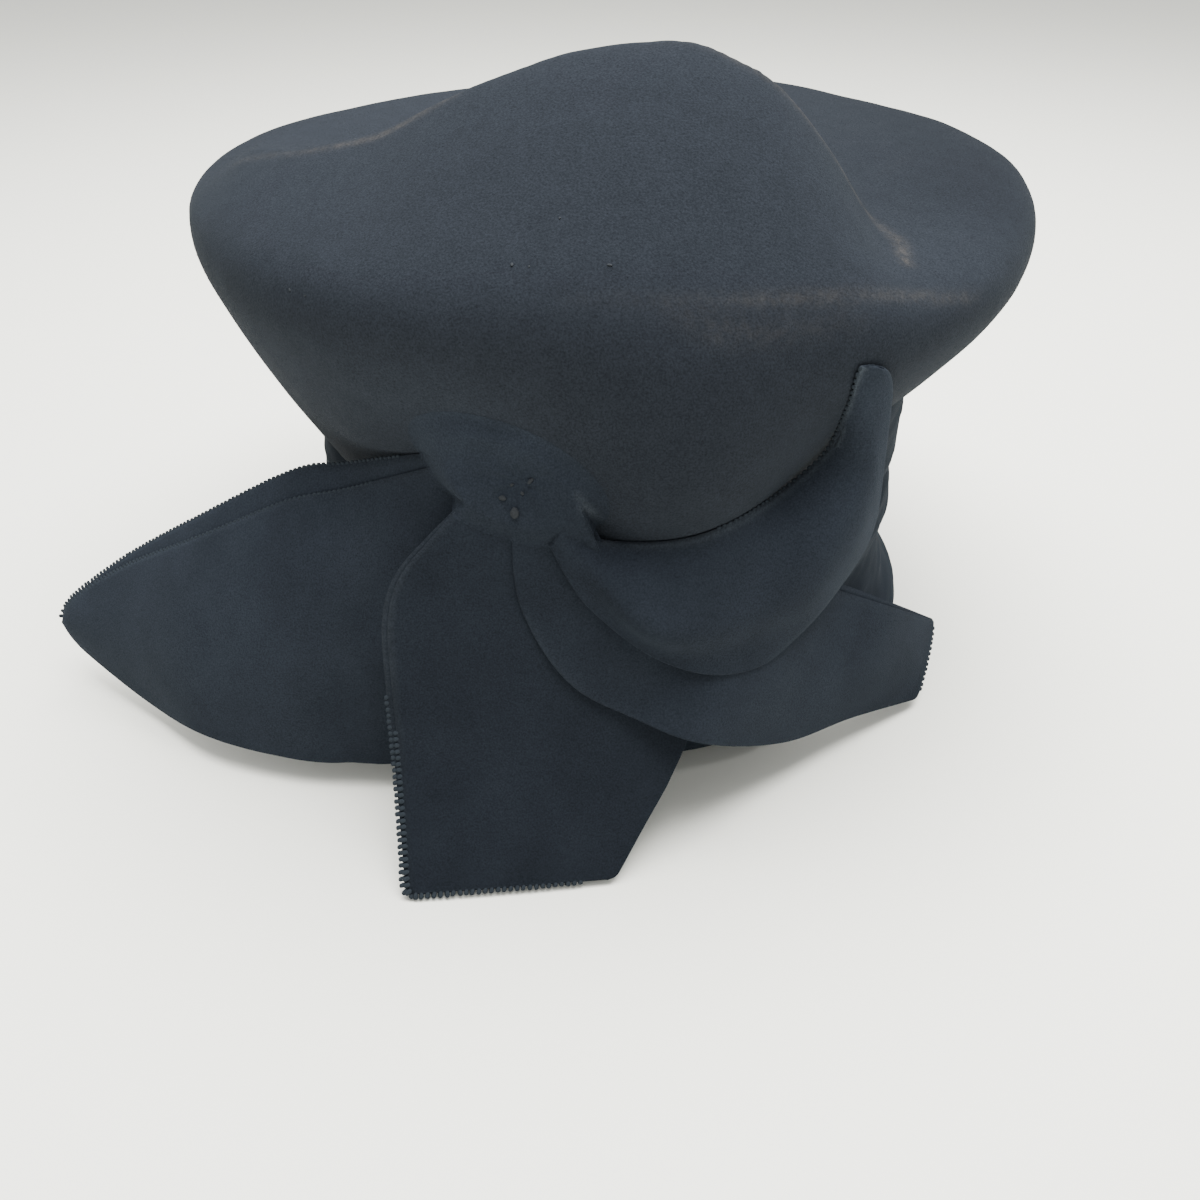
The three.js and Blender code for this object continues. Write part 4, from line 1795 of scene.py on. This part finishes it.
@dataclass
class Studio:
    """Pale floor, soft overhead light and the camera."""

    head: HeadFrame
    camera_place: Place = (-3.2, -348.0, 227.0)
    camera_tilt: float = 34.0
    lens: float = 34.5
    sensor: float = 36.0
    seen: Span = Span(0.01, 40.0)
    floor_size: float = 14.0
    floor_colour: Colour = (0.90, 0.90, 0.83)
    floor_roughness: float = 0.75
    floor_specular: float = 0.2
    sky_colour: Colour = (0.90, 0.91, 0.90)
    sky_strength: float = 1.05
    lamp_power: float = 50.0
    lamp_size: float = 1.0
    lamp_place: Place = (0.08, 0.08, 1.0)
    lamp_colour: Colour = (1.0, 1.0, 0.985)

    def floor(self) -> None:
        """Lays the floor at the height that the hat rests on."""
        bpy.ops.object.select_all(action="DESELECT")
        bpy.ops.mesh.primitive_plane_add(size=self.floor_size)
        floor = bpy.context.object
        floor.name = "studio_floor"
        material = bpy.data.materials.new("pale_floor")
        material.use_nodes = True
        shader = material.node_tree.nodes["Principled BSDF"]
        shader.inputs["Base Color"].default_value = (*self.floor_colour, 1)
        shader.inputs["Roughness"].default_value = self.floor_roughness
        shader.inputs["Specular IOR Level"].default_value = self.floor_specular
        floor.data.materials.append(material)

    def lights(self) -> None:
        """Sets the pale surroundings and the overhead lamp."""
        world = bpy.data.worlds.new("pale_room")
        world.use_nodes = True
        sky = world.node_tree.nodes["Background"]
        sky.inputs["Color"].default_value = (*self.sky_colour, 1)
        sky.inputs["Strength"].default_value = self.sky_strength
        bpy.context.scene.world = world
        lamp_data = bpy.data.lights.new("overhead_panel", "AREA")
        lamp_data.shape = "SQUARE"
        lamp_data.size = self.lamp_size
        lamp_data.energy = self.lamp_power
        lamp_data.color = self.lamp_colour
        lamp = bpy.data.objects.new("overhead_panel", lamp_data)
        lamp.location = Vector(self.head.axis) + Vector(self.lamp_place)
        aim = Vector(self.head.axis) - lamp.location
        lamp.rotation_euler = aim.to_track_quat("-Z", "Y").to_euler()
        bpy.context.collection.objects.link(lamp)

    def camera(self) -> None:
        """Sets the camera at the photograph's viewing angle."""
        data = bpy.data.cameras.new("view_camera")
        data.sensor_width = self.sensor
        data.lens = self.lens
        data.clip_start, data.clip_end = self.seen
        camera = bpy.data.objects.new("view_camera", data)
        camera.location = self.head.place(self.camera_place)
        camera.rotation_euler = (math.radians(90 - self.camera_tilt), 0, 0)
        bpy.context.collection.objects.link(camera)
        bpy.context.scene.camera = camera

    def build(self) -> None:
        """Sets up floor, light and camera."""
        self.camera()
        self.floor()
        self.lights()


def ribbon_pieces(head: HeadFrame) -> list[FoldedRibbon]:
    """The folded ribbon pieces of the bow, from the one that lies lowest.

    Args:
        head: Frame that places the points.

    Returns:
        The four pieces.
    """
    # Each piece's pile values are painted light and shade along it, and its edge glows are painted
    # highlights.
    return [
        FoldedRibbon(
            head, "bow_wing_ribbon", "bow_wing_left", WING_LEFT,
            SheetFacts((0.17, 0.15), Held.FOLDED, ("velvet_headband",)),
            picots=(PicotRun(RibbonEdge.BACK, 0.2, 0.72, 0.35, 0.7),
                    PicotRun(RibbonEdge.BACK, 0.72, 0.995, 0.8, 1.6),
                    PicotRun(RibbonEdge.FRONT, 0.24, 0.97, 0.25, 0.8)),
            painted_highlights=(EdgeHighlight(False, (0.3, 1, 2, 3), (0.2, 0.3, 0.2, 0.0), 1.6),),
            pleat_depth=0.4, pile=(1.1, 1.2), lean_most=(6, 10, 12, 6, 1, 0, 0, 0)),
        FoldedRibbon(
            head, "bow_tail_ribbon", "bow_tail_front", TAIL_FRONT,
            SheetFacts((0.12, 0.115), Held.FOLDED, ("velvet_headband",)),
            picots=(PicotRun(RibbonEdge.BACK, 0.6, 1.0, 0.7, 1.4),
                    PicotRun(RibbonEdge.FRONT, 0.66, 1.0, 0.9, 1.6),
                    PicotRun(RibbonEdge.END_FRONT, 0.28, 1.0, 0.9, 1.5),
                    PicotRun(RibbonEdge.END_BACK, 0.28, 1.0, 0.9, 1.5)),
            painted_highlights=(EdgeHighlight(False, (0.4, 1.3, 2.4, 4, 5.2), (0.1, 0.3, 0.45, 0.3, 0), 1.2),),
            pile=(0.98, 0.85, 0.72)),
        FoldedRibbon(
            head, "bow_petal_lower_ribbon", "bow_petal_right_lower", PETAL_LOWER,
            SheetFacts((0.13, 0.11), Held.FOLDED, ("bow_tail_ribbon",)),
            picots=(PicotRun(RibbonEdge.END_FRONT, 0.1, 1.0, 1.2, 1.6),
                    PicotRun(RibbonEdge.END_BACK, 0.1, 1.0, 1.2, 1.6)),
            painted_highlights=(EdgeHighlight(True, (0.5, 1.2, 2, 2.8), (0.0, 0.12, 0.14, 0.0), 1.2),),
            pile=(0.93, 0.97, 1.07, 0.88), settle=(1, 1, 1, 0.9, 0.3, 0, 0)),
        FoldedRibbon(
            head, "bow_petal_upper_ribbon", "bow_petal_right_upper", PETAL_UPPER,
            SheetFacts((0.115, 0.085), Held.FOLDED, ("bow_petal_lower_ribbon",)),
            picots=(PicotRun(RibbonEdge.FRONT, 0.36, 0.94, 0.35, 0.5),),
            painted_highlights=(EdgeHighlight(False, (0.6, 1.6, 3, 5, 6.8), (0.5, 0.8, 1.0, 1.0, 1.0), 1.7),
                   EdgeHighlight(True, (2.8, 3.4, 4.2, 5, 6, 7), (0.0, 0.25, 0.35, 0.2, 0.3, 0.35),
                            1.2)),
            pile=(0.94, 0.94, 0.96, 1.1, 1.25, 1.3), settle=(1, 1, 1, 1, 0.6, 0, 0, 0),
            lean_most=(10, 10, 10, 14, 16, 9, 5, 5), closed=True, round_end=4.5),
    ]


TACKS = (
    Speck(-22.4, -121, 97.7, 1.05, 1.2),
    Speck(-25.0, -121, 101.5, 0.6, 1.5),
    Speck(-18.6, -121, 105.8, 0.45, 1.9),
    Speck(-20.6, -121, 102.7, 0.36, 1.4),
    Speck(-22.9, -121, 104.9, 0.36, 1.3),
)
LINT = (
    Speck(-22.1, -102.8, 148.5, 0.34, 1.3),
    Speck(-1.1, -104.6, 149.0, 0.28, 2.0),
    Speck(-11.9, -95.0, 156.2, 0.22, 1.3),
    Speck(-74.2, -89.9, 138.6, 0.22, 1.6),
    Speck(-70.5, -91.5, 137.8, 0.18, 1.2),
    Speck(-18.4, -103.4, 148.3, 0.2, 1.4),
)


def main() -> None:
    """Builds the hat and its studio."""
    logging.basicConfig(level=logging.INFO, format="%(name)s: %(message)s")
    head = HeadFrame()
    Studio(head).build()
    crown = FeltCrown(head)
    felt_crown = crown.build()
    DrapedHeadband(head).build(crown)
    velvet = VELVET_RIBBON.build()
    trim = PicotTrim()
    crown_skin = skin_of(felt_crown)
    carriers: list[BVHTree] = []
    for ribbon in ribbon_pieces(head):
        carriers.append(skin_of(ribbon.build(velvet, trim, carriers, crown_skin)))
    knot = GatheredKnot(head).build(velvet, [*carriers, crown_skin])
    SpeckScatter(head, "tack_stitches", TACKS).build(knot, TACK_THREAD.build(), Slot.RIBBON)
    LooseNap(head).build(felt_crown)
    SpeckScatter(head, "lint_specks", LINT).build(felt_crown, LINT_FIBRE.build(), Slot.FELT)


if __name__ == "__main__":
    main()
